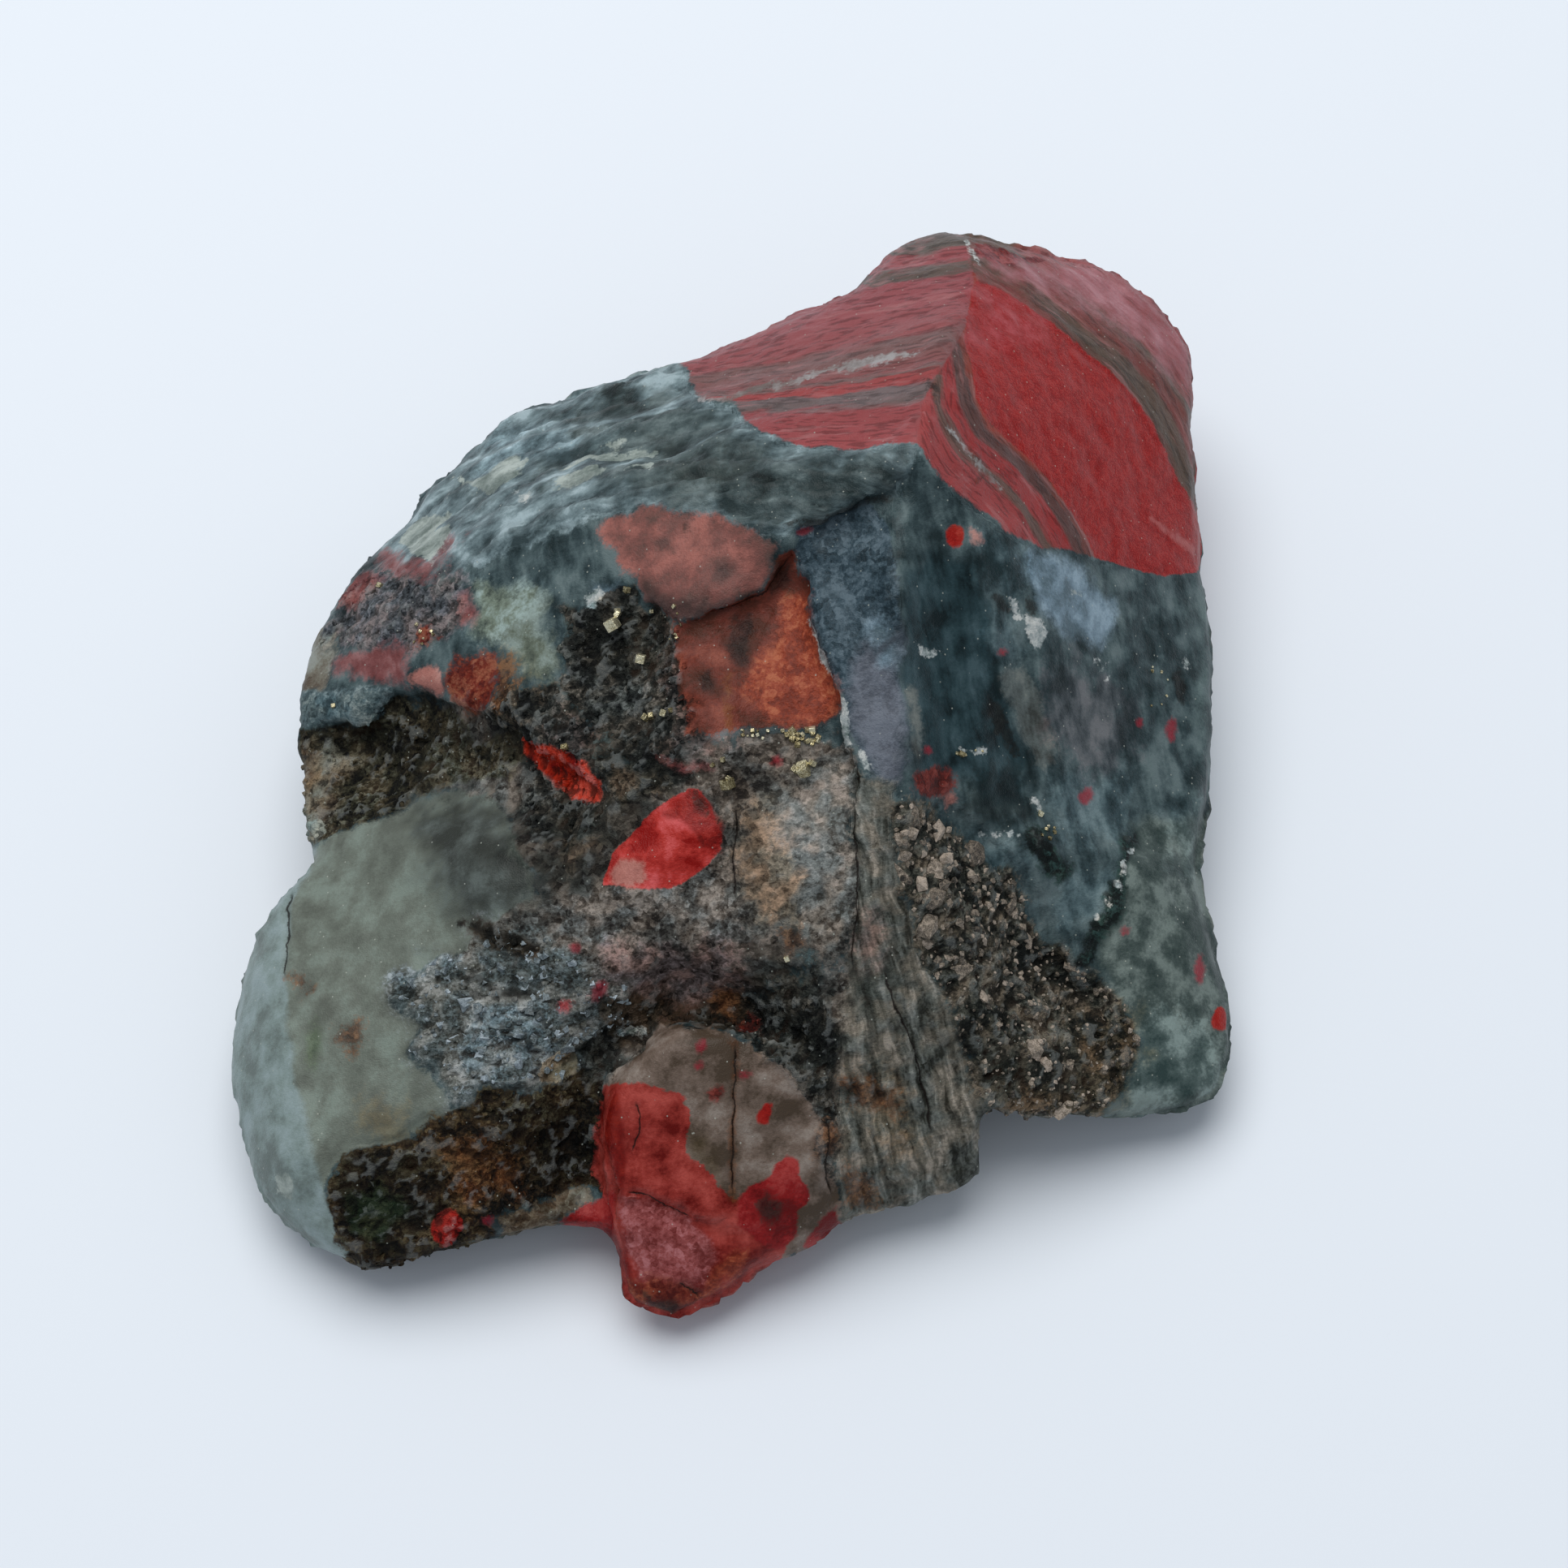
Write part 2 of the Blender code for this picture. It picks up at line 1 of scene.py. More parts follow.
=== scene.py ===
"""The finished look of a rough piece of bloodstone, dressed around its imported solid.

The skin of the stone is a finer copy of the solid's skin, with ledges, grain and facets worked
into it. It keeps how far inside each mineral a point lies, three minerals to a vector, and the
material paints the minerals from those and from noise. Grains, crystals, crumbs and pyrite are
small pieces of mesh that stand in the skin.

Places are traced along the line of sight on the stone's best side, in pixels of a 1932 px frame.
Sizes are millimetres while the stone is worked, and metres in the meshes.
"""

import itertools
import math
from functools import cached_property

import bmesh
import bpy
import numpy as np
from bpy.props import FloatProperty, FloatVectorProperty, PointerProperty
from mathutils import Euler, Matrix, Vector
from mathutils.kdtree import KDTree


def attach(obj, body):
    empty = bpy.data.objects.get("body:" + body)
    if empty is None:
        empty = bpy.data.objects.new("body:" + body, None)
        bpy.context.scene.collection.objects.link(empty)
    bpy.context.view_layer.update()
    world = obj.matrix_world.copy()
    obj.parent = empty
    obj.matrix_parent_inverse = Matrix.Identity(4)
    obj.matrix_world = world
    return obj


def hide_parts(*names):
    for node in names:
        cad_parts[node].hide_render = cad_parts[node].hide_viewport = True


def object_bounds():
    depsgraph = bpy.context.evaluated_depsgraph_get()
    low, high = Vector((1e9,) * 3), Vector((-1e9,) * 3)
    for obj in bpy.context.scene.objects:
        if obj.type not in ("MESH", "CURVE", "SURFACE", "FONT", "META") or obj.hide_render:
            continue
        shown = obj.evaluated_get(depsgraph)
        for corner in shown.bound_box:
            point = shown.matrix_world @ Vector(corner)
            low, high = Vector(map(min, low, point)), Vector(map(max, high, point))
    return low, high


bl_info = {
    "name": "Bloodstone",
    "version": (1, 0, 0),
    "blender": (4, 5, 0),
    "location": "3D View > Sidebar > Bloodstone",
    "description": "Dresses a rough bloodstone with its minerals, grains, crystals and pyrite",
    "category": "Object",
}

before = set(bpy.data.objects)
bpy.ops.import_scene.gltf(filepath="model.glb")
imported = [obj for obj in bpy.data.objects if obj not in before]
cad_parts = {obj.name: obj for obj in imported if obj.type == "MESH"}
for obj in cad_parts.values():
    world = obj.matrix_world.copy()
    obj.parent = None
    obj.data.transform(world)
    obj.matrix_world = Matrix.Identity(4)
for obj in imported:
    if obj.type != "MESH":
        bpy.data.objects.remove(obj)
CAD_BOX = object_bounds()

MM = 0.001
NODE = "bloodstone"
BODY = "root"
SKIN_NAME = "bloodstone_skin"
MINERALS_NAME = "bloodstone_minerals"

# Line of sight on the stone's best side, and what a pixel of the frame is at its target
SIGHT_TILT = math.radians(58)
SIGHT_DISTANCE = 212.0
SIGHT_TARGET = Vector((3.4, -5.512, 14.65))
SIGHT_BACK = Vector((0.0, -math.cos(SIGHT_TILT), math.sin(SIGHT_TILT)))
SIGHT_RIGHT = Vector((1.0, 0.0, 0.0))
SIGHT_UP = SIGHT_BACK.cross(SIGHT_RIGHT)
EYE = SIGHT_TARGET + SIGHT_BACK * SIGHT_DISTANCE
FRAME_MIDDLE = 966
PIXEL = 0.05643

# How far from an outline its distance is kept, and how far from the lens that of its bands
REACH = 3.0
BAND_REACH = 12.0

# Outlines of the minerals, and of painted shade, sheen and highlight, in pixels of the frame
OUTLINES = {
    "jasper": [
        [(830, 440), (848, 452), (851, 471), (862, 488), (881, 491), (898, 491), (908, 498),
         (913, 510), (932, 527), (954, 537), (976, 547), (1010, 551), (1046, 554), (1082, 549),
         (1107, 547), (1129, 549), (1149, 576), (1179, 609), (1206, 625), (1230, 642),
         (1260, 666), (1284, 675), (1311, 678), (1338, 685), (1386, 690), (1434, 698),
         (1479, 690), (1560, 690), (1560, 200), (1100, 200), (900, 380)],
    ],
    "lens": [
        [(1200, 348), (1191, 390), (1189, 420), (1197, 450), (1203, 492), (1221, 525),
         (1260, 558), (1296, 594), (1320, 630), (1338, 660), (1350, 686), (1386, 700),
         (1434, 710), (1500, 700), (1497, 650), (1473, 624), (1452, 594), (1437, 558),
         (1419, 519), (1395, 486), (1368, 456), (1332, 429), (1299, 399), (1260, 372),
         (1224, 351)],
    ],
    "oval": [
        [(742, 638), (771, 638), (797, 625), (828, 623), (867, 633), (908, 644), (940, 660),
         (956, 679), (953, 695), (940, 721), (921, 733), (892, 751), (860, 759), (832, 759),
         (803, 743), (781, 714), (755, 682), (739, 663)],
    ],
    "orange": [
        [(959, 690), (982, 685), (989, 711), (992, 758), (1004, 799), (1016, 832), (1030, 864),
         (1013, 882), (989, 893), (946, 895), (895, 902), (851, 909), (842, 860), (832, 800),
         (828, 762), (860, 760), (892, 752), (921, 734), (941, 722)],
    ],
    "blotch": [
        [(897, 770), (905, 758), (922, 760), (925, 785), (930, 812), (918, 828), (900, 815)],
        [(958, 700), (978, 706), (980, 722), (962, 730), (945, 735), (948, 720)],
        [(866, 830), (880, 826), (884, 850), (870, 856)],
        [(937, 1473), (948, 1466), (964, 1478), (960, 1500), (944, 1507), (936, 1492)],
        [(789, 1590), (830, 1596), (846, 1612), (830, 1622), (800, 1612)],
        [(848, 978), (868, 984), (872, 1000), (858, 998)],
    ],
    "pit": [
        [(700, 748), (760, 725), (835, 765), (848, 830), (857, 886), (880, 915), (800, 950),
         (740, 920), (700, 860), (690, 800)],
        [(905, 1245), (960, 1200), (1010, 1190), (1020, 1290), (960, 1310), (925, 1290)],
        [(640, 935), (700, 960), (760, 985), (700, 1050), (650, 1020)],
        [(606, 850), (680, 834), (700, 860), (740, 920), (800, 950), (850, 915), (860, 960),
         (760, 985), (700, 960), (640, 935), (600, 890)],
        [(905, 1245), (960, 1200), (1010, 1190), (1034, 1230), (1034, 1420), (1010, 1380),
         (975, 1320), (945, 1300), (902, 1278)],
        [(700, 1280), (745, 1262), (790, 1262), (768, 1312), (742, 1342), (736, 1369),
         (738, 1411), (748, 1466), (735, 1470), (715, 1440), (720, 1380), (705, 1340)],
    ],
    "inky": [
        [(395, 780), (415, 745), (440, 712), (470, 700), (520, 716), (552, 700), (580, 720),
         (575, 760), (540, 790), (500, 800), (450, 790), (410, 800)],
    ],
    "pale": [
        [(591, 724), (626, 721), (655, 722), (669, 746), (672, 780), (688, 815), (680, 834),
         (654, 828), (626, 806), (600, 788), (580, 773), (586, 746)],
    ],
    "red_streak": [
        [(405, 818), (436, 801), (471, 792), (505, 798), (511, 818), (505, 844), (471, 841),
         (436, 832)],
        [(557, 761), (577, 738), (582, 761), (562, 771)],
        [(473, 669), (491, 683), (511, 695), (528, 700), (548, 672), (557, 655), (566, 660),
         (548, 690), (530, 708), (511, 714), (485, 706), (462, 686)],
        [(415, 745), (440, 712), (465, 700), (470, 716), (440, 745)],
    ],
    "pink": [
        [(507, 838), (519, 820), (536, 822), (549, 848), (540, 858), (522, 852)],
        [(1196, 650), (1210, 658), (1212, 670), (1199, 668)],
        [(1160, 980), (1172, 976), (1180, 990), (1168, 998)],
        [(872, 1337), (886, 1340), (884, 1350), (872, 1350)],
        [(690, 1232), (703, 1234), (702, 1246), (688, 1247)],
        [(777, 1094), (760, 1092), (752, 1080), (765, 1060), (790, 1062), (800, 1085)],
    ],
    "rust_red": [
        [(562, 812), (586, 796), (606, 808), (612, 840), (600, 870), (571, 881), (557, 858),
         (548, 838)],
        [(510, 770), (528, 764), (534, 785), (520, 796), (507, 790)],
    ],
    "cream": [
        [(493, 666), (522, 634), (557, 632), (562, 649), (548, 672), (528, 697)],
        [(554, 590), (577, 590), (605, 587), (621, 568), (650, 566), (647, 571), (605, 603),
         (589, 606)],
        [(679, 606), (688, 590), (704, 574), (739, 561), (809, 558), (806, 571), (760, 572),
         (723, 590)],
        [(749, 548), (777, 539), (757, 560)],
        [(382, 1010), (400, 1006), (405, 1026), (388, 1036)],
        [(338, 1450), (352, 1444), (366, 1458), (362, 1476), (345, 1474)],
    ],
    "white": [
        [(631, 607), (650, 604), (659, 609), (637, 615)],
        # Painted highlight: the thin rim beside the slate, where it catches the light
        [(1029, 858), (1038, 858), (1047, 890), (1049, 918), (1038, 918), (1032, 885)],
        [(1058, 924), (1064, 926), (1074, 950), (1066, 950)],
        [(1128, 793), (1146, 800), (1160, 803), (1150, 809), (1136, 806)],
        [(1182, 921), (1200, 924), (1216, 923), (1216, 929), (1198, 930), (1184, 927)],
        [(1263, 756), (1283, 762), (1290, 782), (1277, 803), (1268, 788)],
        [(1243, 735), (1252, 738), (1260, 765), (1252, 765), (1247, 750)],
        [(1318, 724), (1332, 730), (1334, 735), (1320, 731)],
        [(760, 1268), (790, 1266), (786, 1275), (762, 1276)],
        [(722, 733), (740, 722), (742, 730), (732, 750), (724, 748)],
    ],
    "teal_ledge": [
        [(350, 860), (393, 853), (430, 844), (476, 850), (485, 861), (471, 884), (436, 898),
         (393, 896), (350, 890)],
    ],
    "brown_step": [
        [(350, 898), (393, 896), (436, 900), (480, 862), (534, 867), (568, 893), (588, 916),
         (637, 898), (650, 935), (626, 959), (551, 967), (465, 1010), (407, 1036), (370, 1036)],
    ],
    "tan_rim": [
        [(360, 925), (402, 916), (433, 942), (416, 970), (402, 1010), (388, 1040), (365, 1010)],
        [(366, 850), (372, 800), (392, 760), (408, 785), (402, 825), (385, 856)],
    ],
    "lobe": [
        [(392, 1046), (407, 1036), (465, 1010), (551, 975), (610, 985), (640, 1040),
         (660, 1100), (600, 1140), (560, 1175), (522, 1189), (484, 1213), (480, 1240),
         (520, 1262), (500, 1300), (545, 1345), (560, 1368), (525, 1392), (474, 1409),
         (446, 1419), (408, 1437), (396, 1466), (418, 1518), (433, 1600), (240, 1500),
         (240, 1150), (350, 1030)],
    ],
    # Painted shade: the lobe darker towards its upper right, under the step above it
    "lobe_shade": [
        [(500, 1000), (560, 975), (615, 985), (640, 1040), (670, 1110), (620, 1140),
         (560, 1120), (520, 1070)],
    ],
    "bevel": [
        [(392, 1046), (383, 1063), (362, 1110), (354, 1160), (352, 1207), (355, 1259),
         (362, 1330), (377, 1377), (388, 1425), (396, 1466), (418, 1518), (433, 1600),
         (240, 1560), (240, 1150), (340, 1040)],
    ],
    "sugar": [
        [(484, 1213), (522, 1189), (560, 1180), (590, 1140), (640, 1150), (690, 1160),
         (740, 1180), (775, 1230), (775, 1262), (720, 1300), (705, 1340), (650, 1345),
         (600, 1340), (560, 1368), (545, 1345), (500, 1300), (520, 1260), (480, 1240)],
    ],
    # Partly pale crystals and partly painted highlight, where the sugar's crystal tops catch the
    # light
    "frost": [
        [(580, 1240), (611, 1233), (670, 1240), (677, 1275), (666, 1295), (622, 1323),
         (580, 1320), (553, 1316), (546, 1306), (567, 1282), (580, 1261)],
        [(487, 1206), (530, 1186), (567, 1178), (560, 1192), (520, 1206), (492, 1218)],
        [(560, 1330), (590, 1328), (588, 1340), (566, 1342)],
    ],
    "brown_cut": [
        [(573, 1133), (600, 1138), (650, 1160), (668, 1176), (640, 1180), (605, 1165),
         (580, 1150)],
        # Partly brown grain and partly painted shade: the dark band in the recess above the tongue
        [(745, 1235), (790, 1225), (850, 1235), (905, 1225), (925, 1245), (905, 1275),
         (870, 1262), (830, 1255), (800, 1262), (770, 1290), (750, 1280)],
    ],
    "tan_lump": [
        [(666, 1309), (684, 1295), (708, 1302), (711, 1323), (690, 1337), (670, 1333)],
    ],
    "moss": [
        [(408, 1437), (446, 1419), (474, 1409), (525, 1392), (560, 1370), (601, 1344),
         (656, 1346), (718, 1330), (739, 1350), (738, 1411), (750, 1470), (718, 1466),
         (659, 1485), (618, 1504), (600, 1530), (520, 1600), (433, 1600), (400, 1480)],
    ],
    "rust": [
        [(545, 1410), (590, 1400), (640, 1430), (640, 1470), (590, 1480), (550, 1460)],
        [(1040, 1335), (1075, 1320), (1105, 1345), (1110, 1370), (1070, 1372), (1045, 1360)],
        [(1008, 1382), (1030, 1384), (1031, 1422), (1010, 1440)],
        [(350, 1208), (372, 1206), (380, 1217), (362, 1220)],
        [(415, 1258), (440, 1252), (450, 1275), (440, 1305), (428, 1290), (412, 1285)],
        [(880, 1222), (905, 1216), (922, 1236), (905, 1252), (884, 1248)],
        [(955, 1150), (985, 1145), (992, 1170), (968, 1180)],
        [(612, 812), (631, 812), (643, 835), (626, 870), (612, 868)],
        [(1045, 1446), (1070, 1442), (1084, 1462), (1072, 1488), (1046, 1484)],
    ],
    "grey_edge": [
        [(618, 1502), (659, 1485), (715, 1464), (727, 1478), (697, 1502), (659, 1530),
         (622, 1530)],
    ],
    "centre": [
        [(640, 985), (700, 980), (760, 960), (850, 915), (940, 905), (1030, 895), (1050, 930),
         (1055, 1000), (1053, 1100), (1048, 1180), (975, 1190), (930, 1240), (905, 1270),
         (780, 1262), (735, 1195), (690, 1120), (650, 1090), (620, 1020)],
        [(900, 1240), (1048, 1180), (1060, 1300), (1040, 1500), (980, 1400), (950, 1300)],
        [(640, 1130), (740, 1180), (800, 1262), (768, 1312), (742, 1342), (738, 1411),
         (700, 1360), (690, 1300), (720, 1260)],
        [(480, 862), (534, 867), (620, 870), (700, 900), (720, 1010), (640, 1030),
         (600, 990), (540, 967), (590, 930)],
        [(600, 1100), (720, 1080), (760, 1180), (680, 1190), (620, 1165), (560, 1190),
         (556, 1150)],
        [(690, 1230), (800, 1240), (830, 1270), (770, 1345), (700, 1320)],
    ],
    "centre_tan": [
        [(905, 1010), (960, 960), (1040, 930), (1052, 1000), (1050, 1100), (1030, 1170),
         (960, 1180), (920, 1120)],
    ],
    "olive_stain": [
        [(846, 1403), (866, 1400), (882, 1430), (888, 1458), (868, 1452), (855, 1430)],
    ],
    "tongue_side": [
        [(737, 1350), (758, 1340), (762, 1380), (772, 1425), (764, 1465), (772, 1520),
         (775, 1580), (800, 1600), (770, 1612), (755, 1500), (745, 1440), (733, 1370)],
    ],
    "tongue_tip": [
        [(768, 1582), (800, 1570), (845, 1574), (872, 1600), (840, 1640), (780, 1625)],
    ],
    "dark_red": [
        [(1199, 298), (1273, 308), (1292, 320), (1255, 326), (1230, 326), (1206, 317)],
    ],
    # Painted sheen: a pale pink band where the jasper's top rim turns away and reflects the light
    "painted_rim_sheen": [
        [(1206, 320), (1285, 326), (1347, 326), (1423, 375), (1470, 427), (1470, 482),
         (1439, 452), (1393, 409), (1316, 366), (1230, 338)],
    ],
    # Painted sheen: the top of the lens lighter and pinker, where it turns away and reflects the
    # light
    "painted_lens_sheen": [
        [(1200, 345), (1235, 352), (1290, 392), (1280, 430), (1230, 430), (1195, 420)],
    ],
    "oval_dark": [
        [(800, 664), (822, 662), (828, 678), (808, 686)],
        [(874, 690), (890, 684), (902, 700), (898, 718), (880, 716)],
        [(790, 715), (830, 735), (880, 740), (905, 735), (880, 756), (832, 760), (800, 742)],
    ],
    "bright_orange": [
        [(968, 725), (988, 730), (1000, 790), (1017, 833), (1030, 852), (1013, 880),
         (975, 890), (935, 885), (925, 860), (918, 838), (930, 812), (955, 790)],
        [(883, 1568), (905, 1545), (922, 1548), (905, 1575), (880, 1598), (862, 1612),
         (868, 1590)],
    ],
    "blood": [
        [(640, 912), (668, 916), (700, 926), (722, 938), (738, 960), (736, 990), (712, 990),
         (692, 974), (672, 958), (642, 932)],
    ],
    "drop_dark": [
        [(815, 1005), (845, 975), (866, 980), (890, 1012), (889, 1048), (866, 1046),
         (856, 1018), (838, 1012)],
    ],
    "drop": [
        [(849, 973), (861, 975), (872, 986), (881, 1006), (890, 1029), (888, 1046),
         (872, 1067), (849, 1084), (824, 1095), (775, 1094), (743, 1090), (746, 1078),
         (755, 1052), (781, 1024), (809, 995), (832, 980)],
    ],
    "tongue_top": [
        [(811, 1257), (830, 1260), (851, 1268), (873, 1264), (902, 1278), (945, 1300),
         (975, 1320), (990, 1353), (1010, 1379), (1009, 1428), (1036, 1470), (1036, 1520),
         (960, 1560), (900, 1600), (760, 1560), (736, 1411), (736, 1369), (742, 1342),
         (758, 1331), (768, 1312), (787, 1286)],
    ],
    "tongue_red": [
        [(730, 1369), (742, 1342), (760, 1337), (787, 1334), (825, 1339), (846, 1353),
         (849, 1379), (842, 1406), (856, 1430), (884, 1462), (908, 1476), (925, 1500),
         (960, 1520), (975, 1545), (931, 1590), (873, 1650), (760, 1650), (750, 1535),
         (728, 1444)],
    ],
    "tongue_purple": [
        [(763, 1478), (819, 1492), (850, 1505), (878, 1529), (884, 1556), (868, 1580),
         (835, 1584), (788, 1574), (774, 1556), (768, 1521)],
    ],
    "berry": [
        [(953, 1433), (969, 1425), (985, 1433), (983, 1449), (996, 1462), (996, 1481),
         (983, 1497), (985, 1519), (964, 1543), (937, 1535), (910, 1508), (908, 1476),
         (926, 1460), (948, 1449)],
        [(1030, 1486), (1040, 1530), (991, 1545), (996, 1524), (1012, 1508)],
        [(746, 1466), (723, 1484), (688, 1508), (718, 1530), (756, 1530)],
    ],
    "rib": [
        [(1048, 950), (1065, 955), (1098, 962), (1101, 992), (1108, 1073), (1136, 1178),
         (1188, 1283), (1202, 1346), (1222, 1372), (1240, 1500), (1150, 1540), (1036, 1540),
         (1034, 1400), (1034, 1294), (1045, 1190), (1053, 1100)],
    ],
    "hollow": [
        [(1101, 992), (1136, 989), (1160, 1006), (1188, 1041), (1216, 1059), (1245, 1073),
         (1266, 1097), (1280, 1132), (1287, 1164), (1322, 1175), (1350, 1192), (1371, 1213),
         (1392, 1248), (1409, 1283), (1402, 1318), (1388, 1346), (1357, 1372), (1287, 1400),
         (1222, 1390), (1202, 1346), (1188, 1283), (1136, 1178), (1108, 1073)],
    ],
    "olive": [
        [(1395, 1010), (1440, 1010), (1500, 1000), (1560, 1280), (1520, 1400), (1460, 1420),
         (1357, 1400), (1388, 1346), (1402, 1318), (1409, 1283), (1392, 1248), (1371, 1213),
         (1350, 1180), (1374, 1110), (1390, 1055)],
    ],
    "green_vein": [
        [(1385, 1030), (1400, 1020), (1398, 1060), (1388, 1110), (1372, 1150), (1345, 1180),
         (1325, 1195), (1318, 1185), (1345, 1150), (1362, 1110), (1378, 1065)],
        [(1270, 1020), (1300, 1035), (1320, 1070), (1300, 1090), (1275, 1075), (1262, 1045)],
    ],
    "slate": [
        [(978, 650), (1013, 640), (1071, 618), (1089, 638), (1107, 697), (1107, 741),
         (1110, 791), (1113, 893), (1113, 946), (1098, 961), (1074, 952), (1057, 917),
         (1036, 855), (1016, 829), (992, 758), (982, 682)],
    ],
    "violet": [
        [(1066, 790), (1105, 780), (1110, 860), (1113, 946), (1098, 961), (1074, 952),
         (1054, 900), (1040, 850)],
    ],
    "flute": [
        [(1113, 697), (1150, 680), (1200, 690), (1215, 760), (1225, 820), (1240, 870),
         (1255, 930), (1262, 990), (1230, 1000), (1180, 960), (1130, 950), (1120, 880),
         (1112, 800)],
    ],
    "tan_strip": [
        [(1233, 823), (1259, 823), (1277, 852), (1297, 893), (1300, 937), (1288, 946),
         (1271, 940), (1250, 882), (1236, 846)],
        [(1118, 849), (1132, 846), (1138, 900), (1136, 937), (1120, 930)],
    ],
    "cloud": [
        [(1259, 684), (1299, 684), (1335, 705), (1368, 742), (1372, 771), (1350, 793),
         (1313, 785), (1284, 749), (1266, 713)],
        [(1086, 805), (1098, 800), (1106, 812), (1098, 822), (1086, 818)],
        [(1068, 772), (1086, 766), (1090, 786), (1076, 792)],
        [(736, 724), (760, 722), (766, 740), (748, 750), (736, 742)],
    ],
    # Painted light: the right rim lighter teal, as light shining through its thin edge
    "rim_light": [
        [(1474, 700), (1520, 700), (1520, 1060), (1470, 1060), (1480, 900)],
        [(1437, 1033), (1459, 1040), (1456, 1069), (1440, 1060)],
    ],
    # Painted shade: the lower part of the streaked face darker, as the light falls from above
    "slope_shade": [
        [(700, 505), (760, 480), (850, 490), (900, 530), (960, 560), (1040, 570), (1110, 560),
         (1095, 605), (1000, 640), (900, 640), (800, 605), (740, 590), (700, 550)],
    ],
    "streaks": [
        [(480, 700), (450, 640), (560, 480), (740, 400), (850, 440), (862, 488), (908, 498),
         (932, 527), (1010, 551), (1107, 547), (1129, 549), (1108, 600), (1071, 618),
         (1013, 640), (978, 650), (956, 672), (908, 644), (828, 623), (742, 638), (690, 660),
         (600, 690), (540, 720)],
    ],
    "green_spot": [
        [(372, 1262), (388, 1256), (398, 1275), (392, 1308), (376, 1306), (368, 1284)],
        [(1298, 1242), (1318, 1244), (1322, 1262), (1306, 1270)],
        [(430, 1470), (470, 1455), (500, 1490), (470, 1530), (435, 1510)],
    ],
    # Painted shade and dark patches: the colour is darkened here, in the shade under ledges and
    # steps and in darker patches of the grain
    "dark_patch_and_shade": [
        [(705, 765), (760, 745), (830, 770), (835, 815), (780, 835), (720, 820)],
        [(600, 893), (650, 900), (692, 930), (640, 945), (605, 925)],
        [(720, 905), (760, 915), (800, 903), (838, 925), (800, 962), (760, 945), (725, 935)],
        [(690, 985), (745, 975), (805, 985), (750, 1045), (700, 1050), (665, 1020)],
        [(645, 1045), (738, 1060), (742, 1092), (690, 1098), (650, 1088)],
        [(935, 1165), (1000, 1180), (1008, 1222), (955, 1240), (925, 1215)],
        [(950, 1240), (1000, 1250), (1035, 1290), (1030, 1350), (990, 1330), (955, 1290)],
        [(840, 1245), (930, 1240), (910, 1266), (860, 1262)],
        [(715, 1272), (768, 1268), (748, 1330), (722, 1345), (700, 1310)],
        [(425, 1435), (500, 1430), (530, 1470), (520, 1510), (460, 1545), (425, 1500)],
        [(655, 1405), (732, 1380), (737, 1445), (700, 1462), (660, 1450)],
        [(1190, 958), (1250, 950), (1278, 1010), (1230, 1018), (1192, 1000)],
        [(1258, 1160), (1300, 1158), (1304, 1200), (1262, 1208)],
        [(1152, 1268), (1208, 1272), (1202, 1294), (1158, 1292)],
        [(1290, 1285), (1332, 1300), (1322, 1348), (1285, 1335)],
        [(1225, 1300), (1262, 1310), (1250, 1345), (1215, 1335)],
        [(380, 896), (440, 900), (520, 905), (585, 893), (602, 915), (520, 928), (420, 918)],
        [(498, 942), (552, 940), (545, 978), (500, 982)],
        [(735, 478), (768, 468), (795, 500), (762, 515)],
        [(676, 520), (700, 510), (724, 520), (706, 537), (684, 534)],
        [(800, 545), (850, 558), (940, 572), (940, 602), (880, 600), (820, 588)],
        [(636, 592), (662, 570), (700, 564), (716, 580), (690, 597), (650, 602)],
        [(556, 588), (580, 600), (606, 616), (590, 628), (560, 612)],
        [(1040, 1180), (1100, 1190), (1105, 1260), (1060, 1255)],
        [(640, 1010), (655, 1060), (640, 1100), (615, 1060)],
    ],
    "glow": [
        [(755, 1102), (850, 1078), (898, 1092), (903, 1148), (850, 1165), (800, 1135)],
        [(685, 1108), (740, 1130), (775, 1168), (745, 1200), (700, 1165)],
        [(950, 1000), (1045, 960), (1045, 1110), (1010, 1150), (960, 1090)],
        [(585, 720), (660, 722), (640, 760), (600, 790), (575, 775)],
        [(1205, 650), (1258, 672), (1255, 720), (1228, 738), (1208, 705)],
        [(1215, 757), (1250, 760), (1262, 802), (1226, 812)],
        [(1300, 960), (1385, 965), (1385, 1035), (1310, 1030)],
        [(1305, 1080), (1380, 1075), (1360, 1140), (1310, 1155)],
        [(1205, 1030), (1250, 1028), (1266, 1070), (1215, 1072)],
        [(1400, 1262), (1450, 1240), (1500, 1280), (1512, 1345), (1450, 1372), (1400, 1362)],
        [(610, 530), (700, 540), (762, 520), (742, 560), (650, 562), (600, 592), (570, 612)],
        [(715, 850), (790, 845), (800, 880), (740, 890)],
        [(1070, 1210), (1096, 1215), (1100, 1245), (1075, 1248)],
        [(1446, 1000), (1482, 1000), (1478, 1080), (1455, 1070)],
    ],
    "tawny": [
        [(606, 805), (645, 818), (650, 870), (640, 898), (598, 882), (612, 840)],
        [(735, 1035), (748, 1060), (700, 1062), (688, 1040)],
        [(550, 1385), (640, 1398), (655, 1470), (560, 1505), (535, 1450)],
        [(1335, 1255), (1402, 1250), (1412, 1300), (1390, 1352), (1340, 1372), (1300, 1362),
         (1330, 1300)],
        [(1230, 1345), (1390, 1345), (1370, 1375), (1240, 1380)],
        [(448, 1368), (500, 1358), (498, 1398), (455, 1398)],
        [(378, 962), (410, 938), (408, 962), (386, 978)],
        [(915, 1000), (945, 990), (985, 1080), (975, 1145), (930, 1130), (915, 1070)],
        [(740, 950), (800, 955), (812, 975), (760, 978)],
